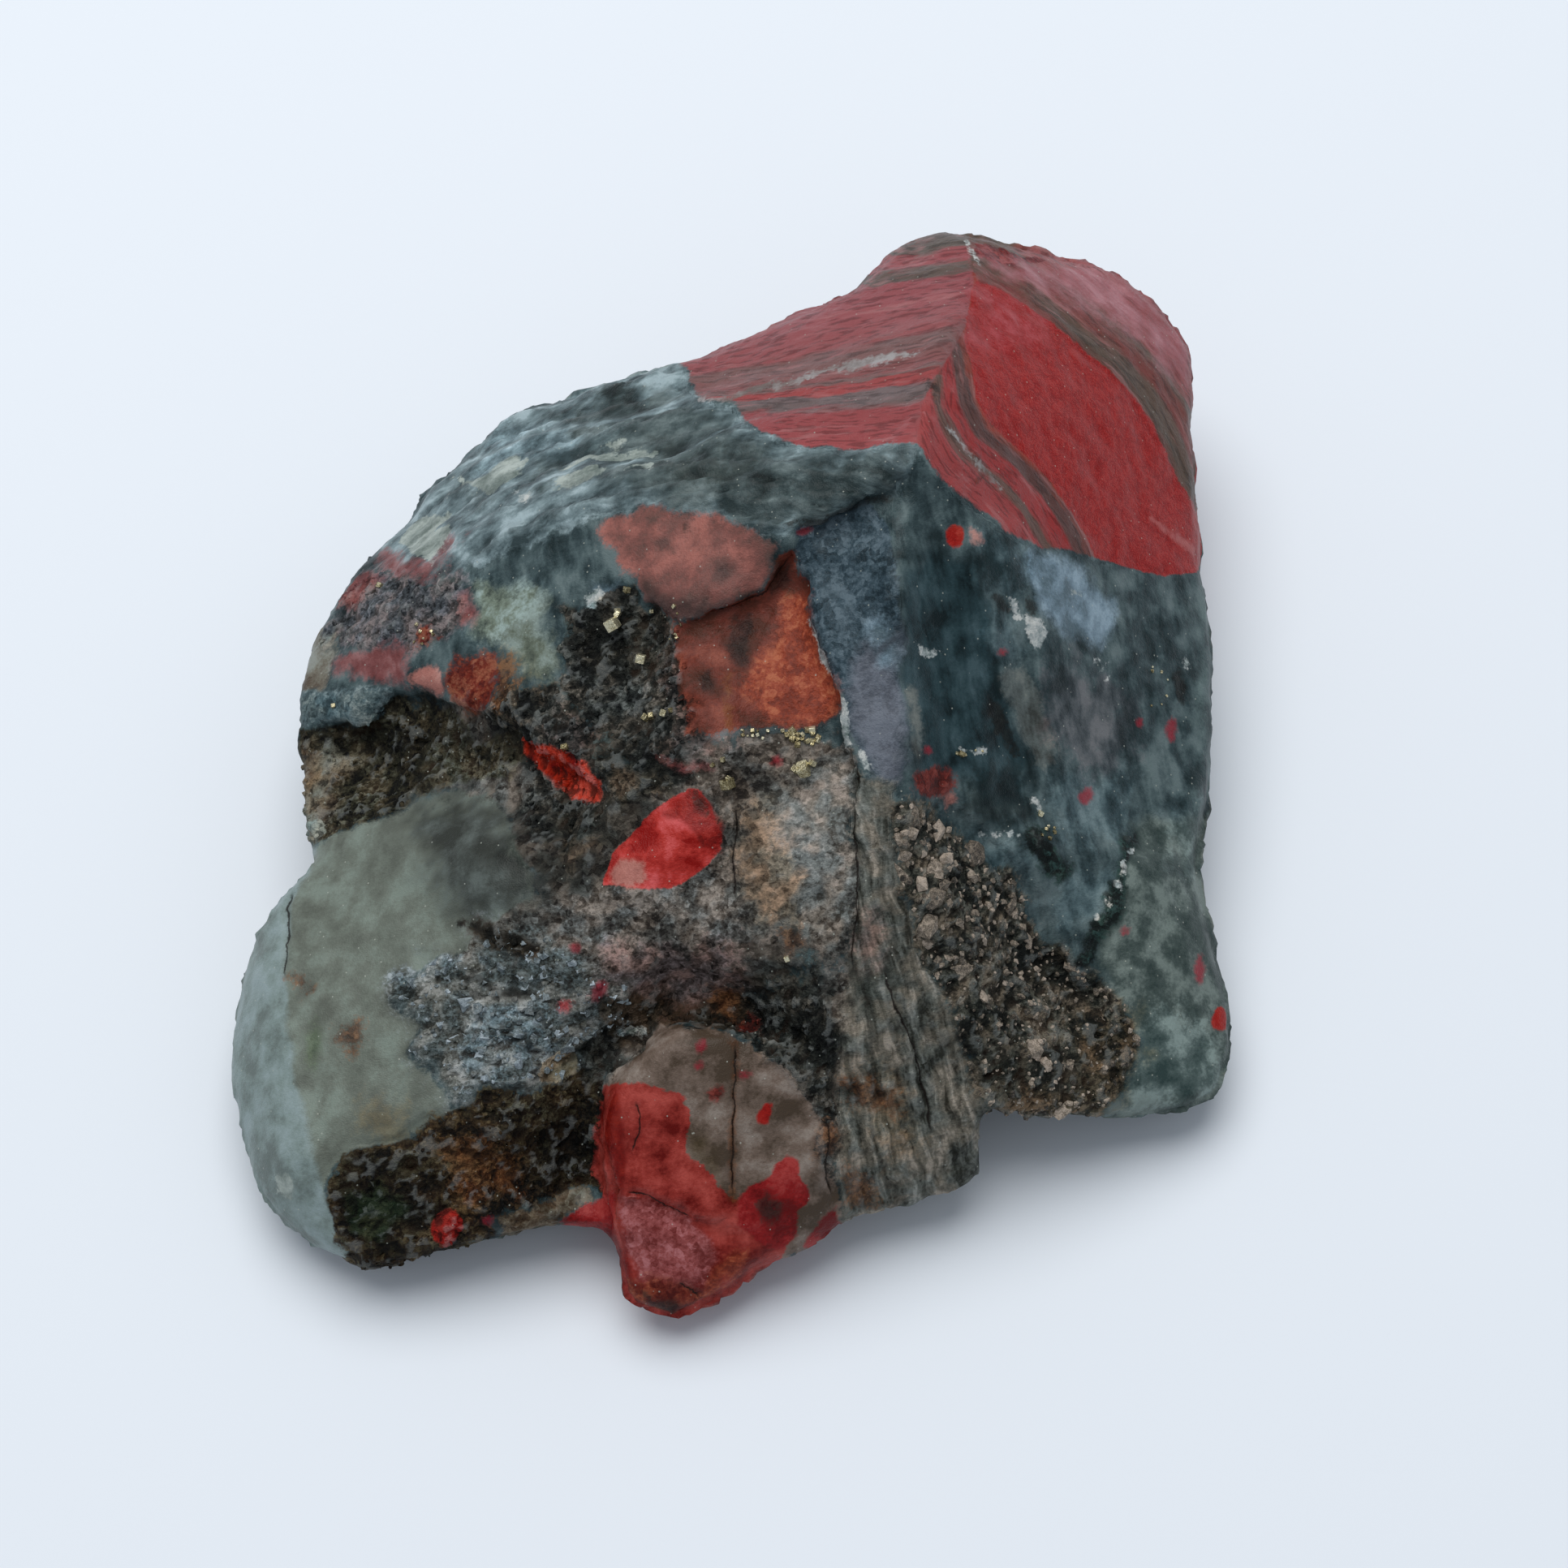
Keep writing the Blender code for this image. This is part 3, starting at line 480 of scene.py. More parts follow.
        [(1060, 1320), (1100, 1318), (1140, 1400), (1100, 1420), (1060, 1370)],
    ],
    "plum": [
        [(755, 1165), (850, 1168), (912, 1158), (918, 1222), (880, 1248), (800, 1238),
         (742, 1205)],
        [(832, 880), (905, 900), (880, 932), (828, 920)],
        [(818, 765), (850, 772), (852, 880), (832, 892), (815, 830)],
        [(1055, 1120), (1090, 1120), (1092, 1180), (1060, 1178)],
        [(690, 890), (720, 892), (728, 925), (695, 925)],
        [(1300, 812), (1390, 850), (1402, 932), (1330, 952), (1292, 900)],
    ],
}

# Veins: points of the frame with the vein's half width there, in pixels
VEINS = {
    "white": [
        # Painted highlight along the lit rim beside the slate
        [(991, 760, 1), (997, 772, 3), (1006, 798, 4), (1013, 815, 5), (1019, 834, 2)],
        [(1190, 297, 1), (1197, 310, 2), (1203, 328, 1)],
    ],
    "jasper_vein": [
        [(862, 490, 2), (900, 491, 3), (925, 480, 4), (949, 474, 3), (985, 467, 4),
         (1024, 453, 4), (1056, 450, 7), (1085, 443, 6), (1106, 439, 3), (1130, 434, 1)],
        [(1166, 524, 1), (1185, 548, 2), (1210, 578, 2), (1232, 604, 1)],
    ],
    "lens_vein": [
        [(1418, 638, 1), (1440, 655, 4), (1460, 669, 5), (1474, 684, 5)],
    ],
    "crimson": [
        [(984, 659, 3), (992, 657, 6), (1002, 654, 3)],
        [(1442, 888, 4), (1441, 899, 6), (1444, 912, 3)],
        [(1480, 1176, 3), (1478, 1192, 7), (1475, 1208, 3)],
    ],
    "red_streak": [
        [(820, 935, 3), (845, 942, 6), (872, 948, 3)],
    ],
    "amber": [
        [(908, 1280, 3), (905, 1340, 3), (903, 1400, 4), (901, 1476, 3)],
        [(897, 823, 2), (898, 860, 4), (897, 899, 3)],
    ],
    # Painted shade: near black lines in the shade under ledges and in crevices, and some dark
    # lines of the grain
    "shade_and_dark_line": [
        [(963, 651, 3), (985, 645, 5), (1019, 640, 4), (1060, 626, 3), (1100, 608, 2)],
        [(1136, 464, 2), (1146, 475, 6), (1152, 486, 2)],
        [(1449, 826, 4), (1455, 846, 7), (1458, 864, 3)],
        [(573, 1137, 3), (610, 1150, 7), (653, 1168, 3)],
        [(567, 1203, 2), (620, 1222, 6), (670, 1233, 3)],
        [(618, 1275, 2), (645, 1286, 6), (670, 1292, 3)],
        [(1224, 738, 3), (1234, 744, 8), (1243, 750, 3)],
        [(1265, 738, 3), (1271, 748, 7), (1274, 758, 3)],
        [(1218, 862, 5), (1232, 890, 9), (1246, 930, 5)],
    ],
}

# Round spots: middle, half sizes in pixels, and turn in degrees
SPOTS = {
    "white": [
        (1393, 1050, 3, 4, 0), (1386, 1068, 4, 6, 15), (1378, 1090, 4, 7, 15),
        (1366, 1112, 4, 5, 0), (1352, 1130, 3, 4, 0), (1212, 1029, 3, 2, 0),
        (1222, 1027, 5, 2, 0), (1233, 1026, 3, 2, 0), (1245, 1027, 5, 3, 0),
        (1255, 1030, 3, 2, 0), (1274, 985, 3, 3, 0), (1280, 996, 3, 5, 0),
        (1350, 814, 2, 4, -30), (1358, 824, 2, 6, -30), (1366, 836, 2, 4, -30),
        (1460, 815, 4, 7, 0),
    ],
    "crimson": [
        (708, 1165, 6, 6, 0), (740, 1220, 8, 13, -20), (695, 1240, 11, 9, 0),
        (865, 1288, 7, 7, 0), (861, 1312, 5, 5, 0), (917, 1323, 8, 6, 0),
        (1388, 1146, 5, 5, 0), (1404, 889, 5, 5, 0), (1338, 978, 8, 8, 0),
        (1233, 802, 4, 4, 0), (1143, 923, 6, 5, 0), (603, 1505, 7, 6, 0),
        (958, 938, 8, 6, 0),
    ],
    "scarlet": [
        (551, 1510, 19, 22, 0), (1176, 661, 13, 14, 0), (944, 1373, 8, 12, -25),
        (1504, 1255, 11, 15, -15),
    ],
    "dull_red": [
        (1151, 964, 27, 20, 0), (922, 1261, 13, 9, 0), (880, 1344, 11, 8, 0),
        (1210, 592, 5, 3, 20), (1194, 552, 4, 5, 0), (1183, 417, 4, 4, 0),
    ],
    "blotch": [
        (847, 650, 3, 8, 30), (870, 732, 5, 4, 0),
        (1440, 372, 4, 3, 0),
    ],
}

# Thin cracks: points of the frame
CRACKS = [
    [(768, 1468), (793, 1475), (817, 1488), (850, 1500)],
    [(838, 1578), (850, 1587), (862, 1600)],
    [(779, 1358), (787, 1374), (788, 1395), (779, 1420)],
    [(908, 989), (908, 1020), (905, 1060), (908, 1107)],
    [(1053, 932), (1055, 1000), (1054, 1060), (1054, 1124), (1050, 1200)],
    [(908, 1280), (905, 1340), (904, 1400), (901, 1476)],
    [(359, 1096), (354, 1150), (353, 1207)],
    [(1021, 1380), (1022, 1410), (1020, 1440), (1024, 1480)],
    [(1085, 1187), (1103, 1235), (1128, 1300), (1150, 1400)],
    # Painted shadow: this dark line runs under the oval's overhanging lower edge
    [(872, 758), (900, 752), (925, 738), (945, 728), (958, 712), (976, 690)],
]

# How far from a crack its line is painted, its half width and depth, and how far it wanders, in mm
CRACK_REACH = 1.0
CRACK_HALF_WIDTH = 0.35
CRACK_DEPTH = 0.25
CRACK_BEND = 0.25

# Pyrite: places in the frame with the cube's width in pixels
PYRITE = [
    (752, 765, 20), (763, 757, 10), (790, 808, 15), (784, 812, 8), (790, 886, 10),
    (801, 882, 9), (812, 878, 10), (823, 875, 7), (991, 943, 20), (982, 948, 12),
    (996, 937, 10), (902, 967, 18), (899, 957, 8), (1190, 930, 9), (1285, 1000, 8),
    (877, 937, 6), (893, 938, 7), (695, 918, 10), (968, 1183, 9), (465, 718, 9),
    (407, 870, 7), (826, 747, 6), (800, 757, 6), (765, 750, 8), (771, 729, 9),
]
# Clusters of pyrite: middle, half width, half height, how many cubes, and the largest's width
PYRITE_CLUSTERS = [
    (990, 903, 22, 9, 26, 10), (945, 901, 34, 5, 14, 6), (520, 778, 14, 16, 8, 6),
    (1298, 1024, 9, 9, 9, 6), (829, 772, 7, 15, 6, 5), (1430, 845, 22, 25, 7, 5),
    (1200, 925, 18, 4, 6, 5),
]

# Ledges across and up in mm: the skin lies lower on the right hand of each, by that much
LEDGES = [
    ([(-11.3, 14.3), (-9.6, 12.9), (-7.2, 11.7), (-4.6, 11.9), (-1.7, 13.1), (0.1, 14.7),
      (1.1, 17.2)], 0.35),
    ([(0.9, 17.6), (1.0, 16.8), (1.9, 11.6), (3.5, 6.5), (4.7, 1.5), (5.4, -1.1),
      (5.2, -4.0)], 0.35),
    ([(0.2, 17.2), (1.1, 17.7), (4.2, 18.8), (7.0, 20.7), (8.6, 22.6)], 0.4),
    ([(-33.4, 4.8), (-31.9, 4.2), (-29.1, 4.1), (-26.9, 6.4), (-24.6, 6.1), (-20.7, 4.7),
      (-17.5, 2.9), (-13.9, 0.6), (-11.1, -1.1)], 0.4),
    ([(0.6, -18.9), (-0.3, -18.3), (-3.4, -16.8), (-7.7, -16.5), (-10.0, -18.3),
      (-12.6, -21.1), (-12.9, -24.5), (-11.7, -29.0), (-12.1, -31.8)], 0.4),
    ([(10.5, -0.4), (13.2, -2.5), (15.7, -4.5), (18.3, -8.1), (19.1, -11.5), (20.5, -13.8),
      (23.4, -15.6)], 0.3),
    ([(-30.2, -25.3), (-26.3, -23.6), (-22.9, -22.5), (-18.4, -20.5), (-15.0, -18.3),
      (-12.5, -16.7)], 0.25),
    ([(-11.6, -28.7), (-9.4, -29.0), (-7.6, -29.7), (-4.9, -30.1), (-3.4, -29.6)], 0.3),
    ([(3.0, -29.6), (3.2, -25.6), (3.6, -20.5), (3.9, -16.0)], 0.2),
]

# Width of a ledge's wall, how far from it the skin is level again, and how far it wanders, in mm
LEDGE_WALL = 0.3
LEDGE_REACH = 2.6
LEDGE_BEND = 0.5

# Sharp edges across and up in mm where two fracture faces meet, drawn out by that much
ARRISES = [
    ([(13.0, 37.6), (13.2, 33.1), (11.5, 31.9), (10.1, 28.6), (9.3, 23.8), (8.0, 20.7),
      (7.8, 15.6)], 0.22),
    ([(8.0, 15.6), (8.1, 10.5), (8.2, 6.0), (8.4, 0.3)], 0.3),
    ([(13.5, 13.3), (15.2, 9.4), (16.0, 3.7), (18.3, -1.9)], 0.25),
    ([(6.7, -12.5), (7.8, -15.2), (9.1, -19.7), (10.4, -24.5)], 0.25),
    ([(-32.8, -4.7), (-34.4, -7.8), (-34.6, -13.2), (-34.2, -18.8), (-33.1, -25.6),
      (-29.7, -32.7)], 0.15),
]

# How far from a sharp edge the skin is drawn out, and how far it wanders, in mm
ARRIS_REACH = 1.3
ARRIS_BEND = 0.25

# Height of the broken grain in each mineral, in millimetres
GRAIN = {
    "pit": 0.36, "brown_step": 0.34, "moss": 0.36, "sugar": 0.24, "centre": 0.2,
    "centre_tan": 0.17, "inky": 0.26, "hollow": 0.4, "rib": 0.17, "rust_red": 0.16,
    "teal_ledge": 0.16, "streaks": 0.06, "slate": 0.08, "orange": 0.07, "red_streak": 0.1,
    "grey_edge": 0.2, "brown_cut": 0.3, "frost": 0.25, "green_vein": 0.2,
}
# The same in all other minerals and on the hidden sides, and what counts as fully coarse
PLAIN_GRAIN = 0.05
HIDDEN_GRAIN = 0.26
FULL_GRAIN = 0.4

# Rounds of levelling that calm the smooth minerals and that tell hollows from ridges, and how
# deep a full hollow is, in millimetres
CALM_ROUNDS = 26
HOLLOW_ROUNDS = 14
FULL_HOLLOW = 0.15

# How much faces have to be turned to the best side to be made finer, and the angle between
# faces from which an edge is sharp
FINER_FROM = 0.15
SHARP_FROM = math.radians(48)

# The most that a point may be hidden, and the least coarse grain there, for a small piece
SEEN = 0.2
CRUMBLY = 0.6

# Minerals that go right through the stone, and so also show on its hidden sides
THROUGH = {
    "jasper", "lens", "lobe", "bevel", "moss", "tongue_top", "tongue_red", "olive", "rib",
    "streaks", "teal_ledge", "brown_step", "tan_rim", "berry", "hollow", "rim_light",
    "grey_edge",
}

# The bands beside the lens start at its two sides, which are drawn out at their ends
LENS_SIDE = 10
LENS_LEFT = [(1200, 300), *OUTLINES["lens"][0][:LENS_SIDE], (1365, 720)]
LENS_RIGHT = [(1200, 340), *reversed(OUTLINES["lens"][0][-LENS_SIDE:]), (1520, 690)]

# Where the jasper's beds give way to its bands
CREST = [(1194, 200), (1194, 300), (1198, 350), (1190, 400), (1175, 430), (1150, 470),
         (1136, 500), (1129, 549), (1129, 650)]

# Middle of the arcs that the streaks of the upper left face follow, across and up
STREAK_MIDDLE = (-2.8, -11.5)

# Slope of the jasper's beds at heights on the frame, where they reach the crest
BED_HEIGHTS = (23.6, 27.0, 29.5, 33.0, 37.0)
BED_SLOPES = (0.02, 0.12, 0.22, 0.16, 0.12)
BED_CREST = 9.25

# Minerals, tints, and painted shade, sheen and highlight, in the order in which they are laid on
# the ground: name, pattern, how far the edge wanders in broad bends and in fine ones (mm), its
# softness (mm), strength, and colours from dark to light
LAYERS = [
    ("streaks", "soft_lines", 0.9, 0.35, 0.3, 1.0,
     [(48, 62, 65), (82, 98, 102), (116, 134, 138), (156, 174, 179)]),
    # Painted shade: the lower part of the streaked face darker, as the light falls from above
    ("slope_shade", "soft_lines", 1.2, 0.8, 0.9, 0.8,
     [(38, 49, 49), (60, 72, 72), (88, 100, 98)]),
    ("slate", "crumbs", 0.3, 0.25, 0.15, 1.0, [(27, 42, 49), (54, 71, 80), (86, 102, 111)]),
    ("violet", "wide", 0.8, 0.4, 0.7, 1.0, [(60, 68, 76), (82, 87, 96), (106, 112, 122)]),
    ("flute", "soft_lines", 0.7, 0.3, 0.5, 0.9, [(8, 24, 27), (34, 55, 60), (56, 77, 83)]),
    ("tan_strip", "soft_lines", 0.5, 0.4, 0.35, 0.9,
     [(58, 61, 58), (92, 100, 98), (124, 128, 122)]),
    ("cloud", "soft", 0.5, 0.3, 0.6, 1.0, [(80, 99, 108), (113, 134, 147), (144, 165, 178)]),
    # Painted light: the right rim lighter teal, as light shining through its thin edge
    ("rim_light", "soft", 0.8, 0.4, 0.8, 0.8, [(57, 70, 72), (81, 98, 98), (102, 120, 119)]),
    ("centre", "crumbs", 1.3, 0.8, 0.5, 1.0,
     [(26, 22, 19), (64, 59, 54), (91, 87, 82), (126, 121, 116)]),
    ("centre_tan", "crumbs", 1.6, 0.9, 0.8, 1.0,
     [(62, 57, 51), (94, 91, 86), (116, 112, 106), (144, 137, 131)]),
    ("inky", "crumbs", 1.0, 0.6, 0.5, 1.0, [(28, 29, 31), (78, 79, 82), (124, 119, 123)]),
    ("pit", "crumbs", 1.3, 0.7, 0.35, 1.0,
     [(8, 10, 10), (36, 37, 34), (65, 64, 59), (106, 104, 99)]),
    ("brown_step", "crumbs", 0.6, 0.5, 0.25, 1.0,
     [(7, 6, 4), (42, 38, 25), (66, 61, 47), (100, 98, 84)]),
    ("tan_rim", "wide", 0.7, 0.5, 0.4, 0.9, [(86, 73, 60), (116, 111, 98), (140, 143, 135)]),
    ("teal_ledge", "crumbs", 0.5, 0.4, 0.2, 1.0, [(48, 62, 66), (84, 102, 106), (132, 146, 147)]),
    ("pale", "soft", 0.9, 0.5, 0.7, 1.0, [(58, 65, 57), (96, 105, 92), (130, 144, 138)]),
    ("lobe", "soft", 0.5, 0.3, 0.2, 1.0, [(90, 95, 87), (105, 112, 103), (121, 132, 123)]),
    # Painted shade: the lobe darker towards its upper right, under the step above it
    ("lobe_shade", "soft", 1.4, 0.8, 1.6, 0.85,
     [(37, 40, 37), (60, 65, 63), (84, 91, 89)]),
    ("bevel", "soft", 0.3, 0.1, 0.3, 0.9, [(102, 114, 111), (126, 142, 140), (142, 158, 160)]),
    ("sugar", "lined_crumbs", 1.4, 1.1, 1.1, 0.95,
     [(44, 43, 38), (78, 81, 78), (100, 106, 105), (134, 140, 141)]),
    # Partly pale crystals and partly painted highlight on the sugar's lit crystal tops
    ("frost", "lined_crumbs", 1.1, 0.8, 0.5, 0.9,
     [(64, 67, 66), (102, 112, 114), (128, 140, 145), (162, 172, 177)]),
    # Brown grain in recesses, partly painted shade there
    ("brown_cut", "crumbs", 0.6, 0.5, 0.3, 0.9, [(26, 19, 9), (58, 46, 32), (84, 72, 60)]),
    ("moss", "crumbs", 0.9, 0.6, 0.25, 1.0,
     [(6, 4, 2), (36, 25, 13), (58, 48, 32), (88, 80, 60)]),
    ("green_spot", "wide", 0.7, 0.5, 0.5, 0.6, [(42, 66, 38), (78, 94, 66), (104, 118, 92)]),
    ("grey_edge", "crumbs", 0.5, 0.4, 0.2, 1.0, [(56, 42, 28), (88, 78, 64), (122, 116, 102)]),
    ("tan_lump", "wide", 0.3, 0.2, 0.12, 1.0, [(104, 90, 66), (146, 134, 113), (184, 176, 158)]),
    ("rib", "lines", 0.5, 0.5, 0.4, 1.0,
     [(42, 41, 34), (82, 81, 74), (108, 106, 98), (146, 142, 134)]),
    ("hollow", "crumbs", 0.8, 0.6, 0.3, 1.0,
     [(18, 20, 17), (48, 47, 40), (78, 74, 65), (112, 106, 95)]),
    ("olive", "soft", 0.6, 0.3, 0.6, 1.0, [(40, 54, 52), (68, 80, 77), (112, 124, 119)]),
    ("green_vein", "crumbs", 0.7, 0.6, 0.3, 0.95, [(1, 4, 4), (7, 18, 15), (42, 64, 60)]),
    ("glow", "tint", 1.2, 1.2, 1.0, 0.85, [(1.4, 1.45, 1.5, 1.0)]),
    ("tawny", "tint", 1.2, 1.2, 1.0, 0.85, [(1.18, 0.92, 0.7, 1.0)]),
    ("plum", "tint", 1.2, 1.2, 1.0, 0.85, [(1.3, 0.95, 0.98, 1.0)]),
    # Painted shade and dark patches: darkens the colour under ledges and steps and in darker
    # patches
    ("dark_patch_and_shade", "tint", 1.0, 1.2, 0.9, 0.9, [(0.3, 0.32, 0.3, 1.0)]),
    ("tongue_top", "soft", 0.4, 0.25, 0.12, 1.0,
     [(70, 58, 47), (108, 93, 83), (138, 127, 118)]),
    ("olive_stain", "wide", 0.6, 0.4, 0.6, 0.6, [(52, 42, 22), (74, 62, 40), (92, 80, 60)]),
    ("tongue_red", "soft", 0.5, 0.3, 0.12, 1.0, [(94, 9, 5), (140, 46, 39), (170, 72, 64)]),
    ("tongue_side", "soft", 0.3, 0.2, 0.25, 0.9, [(66, 7, 4), (106, 13, 8), (136, 32, 18)]),
    ("tongue_purple", "crumbs", 0.4, 0.3, 0.35, 0.9,
     [(106, 42, 40), (144, 76, 75), (174, 110, 112)]),
    ("tongue_tip", "crumbs", 0.6, 0.5, 0.4, 0.85, [(64, 12, 6), (104, 40, 26), (150, 78, 52)]),
    ("jasper", "jasper", 0.25, 0.22, 0.12, 1.0, []),
    ("dark_red", "crumbs", 0.3, 0.3, 0.1, 1.0, [(57, 8, 8), (98, 22, 21), (136, 54, 48)]),
    # Painted sheen: the pale pink band along the jasper's top rim, a reflection of the light
    ("painted_rim_sheen", "soft_lines", 0.8, 0.5, 0.9, 0.8, [(140, 78, 81), (158, 102, 108), (178, 128, 135)]),
    ("lens", "grit", 0.15, 0.1, 0.08, 1.0, [(124, 16, 15), (141, 24, 22), (157, 42, 38)]),
    # Painted sheen: the top of the lens lighter and pinker, a reflection of the light
    ("painted_lens_sheen", "soft", 0.8, 0.4, 1.4, 0.6, [(130, 20, 19), (151, 42, 45), (172, 82, 88)]),
    ("jasper_vein", "wide", 0.3, 0.3, 0.12, 0.8,
     [(104, 96, 92), (134, 130, 128), (160, 160, 160)]),
    ("lens_vein", "soft", 0.2, 0.15, 0.2, 0.9, [(158, 80, 78), (172, 98, 96)]),
    ("oval", "soft", 0.6, 0.5, 0.35, 0.95, [(94, 68, 62), (124, 78, 71), (158, 98, 88)]),
    ("oval_dark", "crumbs", 0.5, 0.5, 0.35, 0.75, [(54, 44, 42), (78, 62, 58)]),
    ("orange", "soft", 0.6, 0.4, 0.2, 1.0, [(73, 35, 22), (106, 50, 39), (138, 75, 60)]),
    ("bright_orange", "crumbs", 0.6, 0.5, 0.6, 0.9,
     [(110, 42, 26), (146, 63, 40), (174, 98, 68)]),
    ("rust_red", "crumbs", 0.6, 0.5, 0.3, 0.95, [(71, 12, 5), (106, 32, 16), (140, 80, 58)]),
    ("red_streak", "soft_lines", 0.8, 0.5, 0.5, 0.85,
     [(96, 44, 42), (123, 66, 65), (150, 101, 100)]),
    ("blood", "soft", 0.3, 0.25, 0.2, 1.0, [(138, 8, 5), (180, 40, 14), (208, 86, 70)]),
    ("rust", "crumbs", 0.7, 0.8, 0.45, 0.75, [(36, 14, 3), (78, 45, 22), (126, 86, 54)]),
    ("drop", "soft", 0.15, 0.15, 0.08, 1.0, [(130, 10, 6), (174, 50, 44), (204, 88, 88)]),
    ("drop_dark", "crumbs", 0.3, 0.3, 0.25, 0.8, [(72, 4, 2), (112, 10, 6), (142, 34, 24)]),
    ("berry", "wide", 0.25, 0.2, 0.12, 1.0, [(96, 8, 9), (136, 25, 26), (160, 58, 55)]),
    ("pink", "soft", 0.4, 0.3, 0.25, 0.95, [(146, 92, 84), (170, 112, 102), (188, 138, 128)]),
    ("scarlet", "wide", 0.25, 0.15, 0.1, 1.0, [(118, 12, 8), (146, 24, 18), (160, 48, 38)]),
    ("crimson", "wide", 0.3, 0.25, 0.22, 0.85, [(124, 24, 38), (150, 46, 58)]),
    ("dull_red", "crumbs", 0.3, 0.3, 0.2, 0.95, [(58, 14, 9), (94, 30, 24), (124, 56, 48)]),
    ("cream", "lines", 0.5, 0.3, 0.12, 0.9,
     [(104, 116, 110), (142, 152, 146), (174, 183, 176)]),
    # Partly white flecks of the stone, partly painted highlight on the lit rim beside the slate
    ("white", "crumbs", 0.25, 0.3, 0.1, 0.9, [(114, 128, 124), (158, 166, 166), (200, 202, 198)]),
    ("amber", "crumbs", 0.3, 0.4, 0.25, 0.6, [(74, 40, 16), (120, 72, 36)]),
    ("blotch", "crumbs", 0.5, 0.6, 0.35, 0.8, [(10, 8, 6), (52, 38, 32)]),
    # Painted shade: near black lines under ledges and in crevices, and some dark lines of the
    # grain
    ("shade_and_dark_line", "crumbs", 0.5, 0.5, 0.25, 0.8, [(8, 9, 8), (30, 29, 24)]),
]
GROUND = [(26, 40, 42), (48, 63, 66), (74, 90, 92), (96, 111, 112)]
HIDDEN_GREEN = [(20, 28, 27), (42, 53, 50), (62, 74, 70), (92, 104, 98)]
HIDDEN_PALE = [(62, 70, 64), (86, 96, 90), (112, 120, 112)]
HIDDEN_RED = [(70, 20, 16), (108, 38, 33), (136, 62, 54)]

# Jasper beds by their height on the frame in mm, and its bands by their distance from the lens
# The beds' pale, greyish reds are partly the jasper's own and partly painted sheen, the reflection
# that a face seen at a grazing angle shows
BEDS = [
    (22.0, (150, 66, 66)), (24.5, (146, 72, 74)), (26.4, (138, 66, 68)), (26.9, (100, 84, 82)),
    (27.7, (108, 92, 92)), (28.0, (148, 68, 68)), (28.5, (144, 68, 68)), (28.8, (112, 90, 88)),
    (29.2, (128, 76, 76)), (30.2, (118, 84, 82)), (31.0, (112, 82, 80)), (31.6, (138, 76, 78)),
    (33.5, (142, 78, 82)), (35.0, (138, 74, 78)), (35.3, (88, 76, 70)), (35.7, (98, 82, 76)),
    (36.1, (142, 72, 76)), (36.8, (138, 72, 74)), (37.1, (92, 84, 78)), (38.0, (98, 86, 82)),
]
LEFT_BANDS = [
    (0.0, (138, 56, 44)), (0.25, (118, 58, 48)), (0.5, (84, 56, 52)), (1.1, (92, 62, 58)),
    (1.35, (140, 48, 48)), (2.1, (146, 54, 54)), (2.4, (94, 72, 64)), (2.8, (102, 74, 66)),
    (3.1, (146, 62, 62)), (5.0, (152, 68, 68)), (7.0, (140, 64, 64)),
]
RIGHT_BANDS = [
    (0.0, (98, 62, 54)), (0.4, (84, 70, 60)), (1.3, (92, 72, 62)), (1.7, (116, 60, 56)),
    (2.3, (106, 70, 64)), (2.7, (90, 76, 66)), (3.1, (132, 72, 70)), (4.2, (148, 86, 88)),
    (5.2, (142, 78, 80)), (7.5, (132, 70, 74)),
]

# Minerals without broken grain
SMOOTH = ("lobe", "bevel", "lens", "flute", "olive", "drop", "tongue_top", "tongue_red", "cloud")

# Depth in mm of the ridges and of the faint lines that follow a mineral's own lines
RIDGED_FACES = [("rib", 0.2), ("sugar", 0.24), ("frost", 0.24)]
LINED_FACES = [("jasper", 0.08), ("lens", -0.07), ("flute", 0.05), ("olive", 0.05)]

# Width in mm of the terraces that follow the streaks
BED_STEP = 1.5

# How fast patterns change along, across and into each mineral's own lines, for each mm
FLOW_RATES = {
    "ground": (0.12, 0.8, 0.4), "streaks": (0.26, 1.25, 0.5), "jasper": (0.16, 1.9, 0.4),
}

# Turns of the straight lines in degrees, how far in mm all lines wander, and the turns and rates
# of the minerals with lines of their own
GROUND_TURN = -78.0
BAND_TURN = -57.0
FLOW_BEND = 0.35
FLOWS = {
    "slate": (-78.0, (0.5, 0.9, 0.5)),
    "centre": (8.0, (0.6, 1.3, 0.8)),
    "pit": (0.0, (0.9, 1.2, 0.9)),
    "lobe": (16.0, (0.2, 0.5, 0.3)),
    "moss": (14.0, (0.6, 1.2, 0.8)),
    "sugar": (-10.0, (0.5, 1.6, 0.9)),
    "rib": (-76.0, (0.18, 1.3, 0.5)),
    "hollow": (0.0, (1.0, 1.0, 1.0)),
    "tongue_top": (-70.0, (0.4, 0.7, 0.5)),
}

# Radius in mm at which the arcs of the streaks are measured
STREAK_RADIUS = 34.0

# How far either way of 0.5 a pattern's usual values go
SPREAD = 0.085

# What the broken grain's colours are multiplied by where it is cooler and where it is warmer
COOL = (0.9, 1.02, 1.07, 1.0)
WARM = (1.08, 0.99, 0.91, 1.0)

# How strongly the minerals bend light
REFRACTION = 1.54

# What the skin keeps three by three in vectors: the vector's name and the axis
PACKED = {
    name: (f"kept_{i // 3}", i % 3) for i, name in enumerate(
        [layer[0] for layer in LAYERS] + [
            "crest", "bed_height", "lens_left", "lens_right", "crack_side", "crack_weight",
            "hidden", "coarse", "cavity", "wide", "soft", "blob"])
}

SOCKETS = {
    "specular": "Specular IOR Level", "ior": "IOR", "metallic": "Metallic",
}

# How many times a mineral's edge may wander for each unit of noise
EDGE_NOISE = 4.0

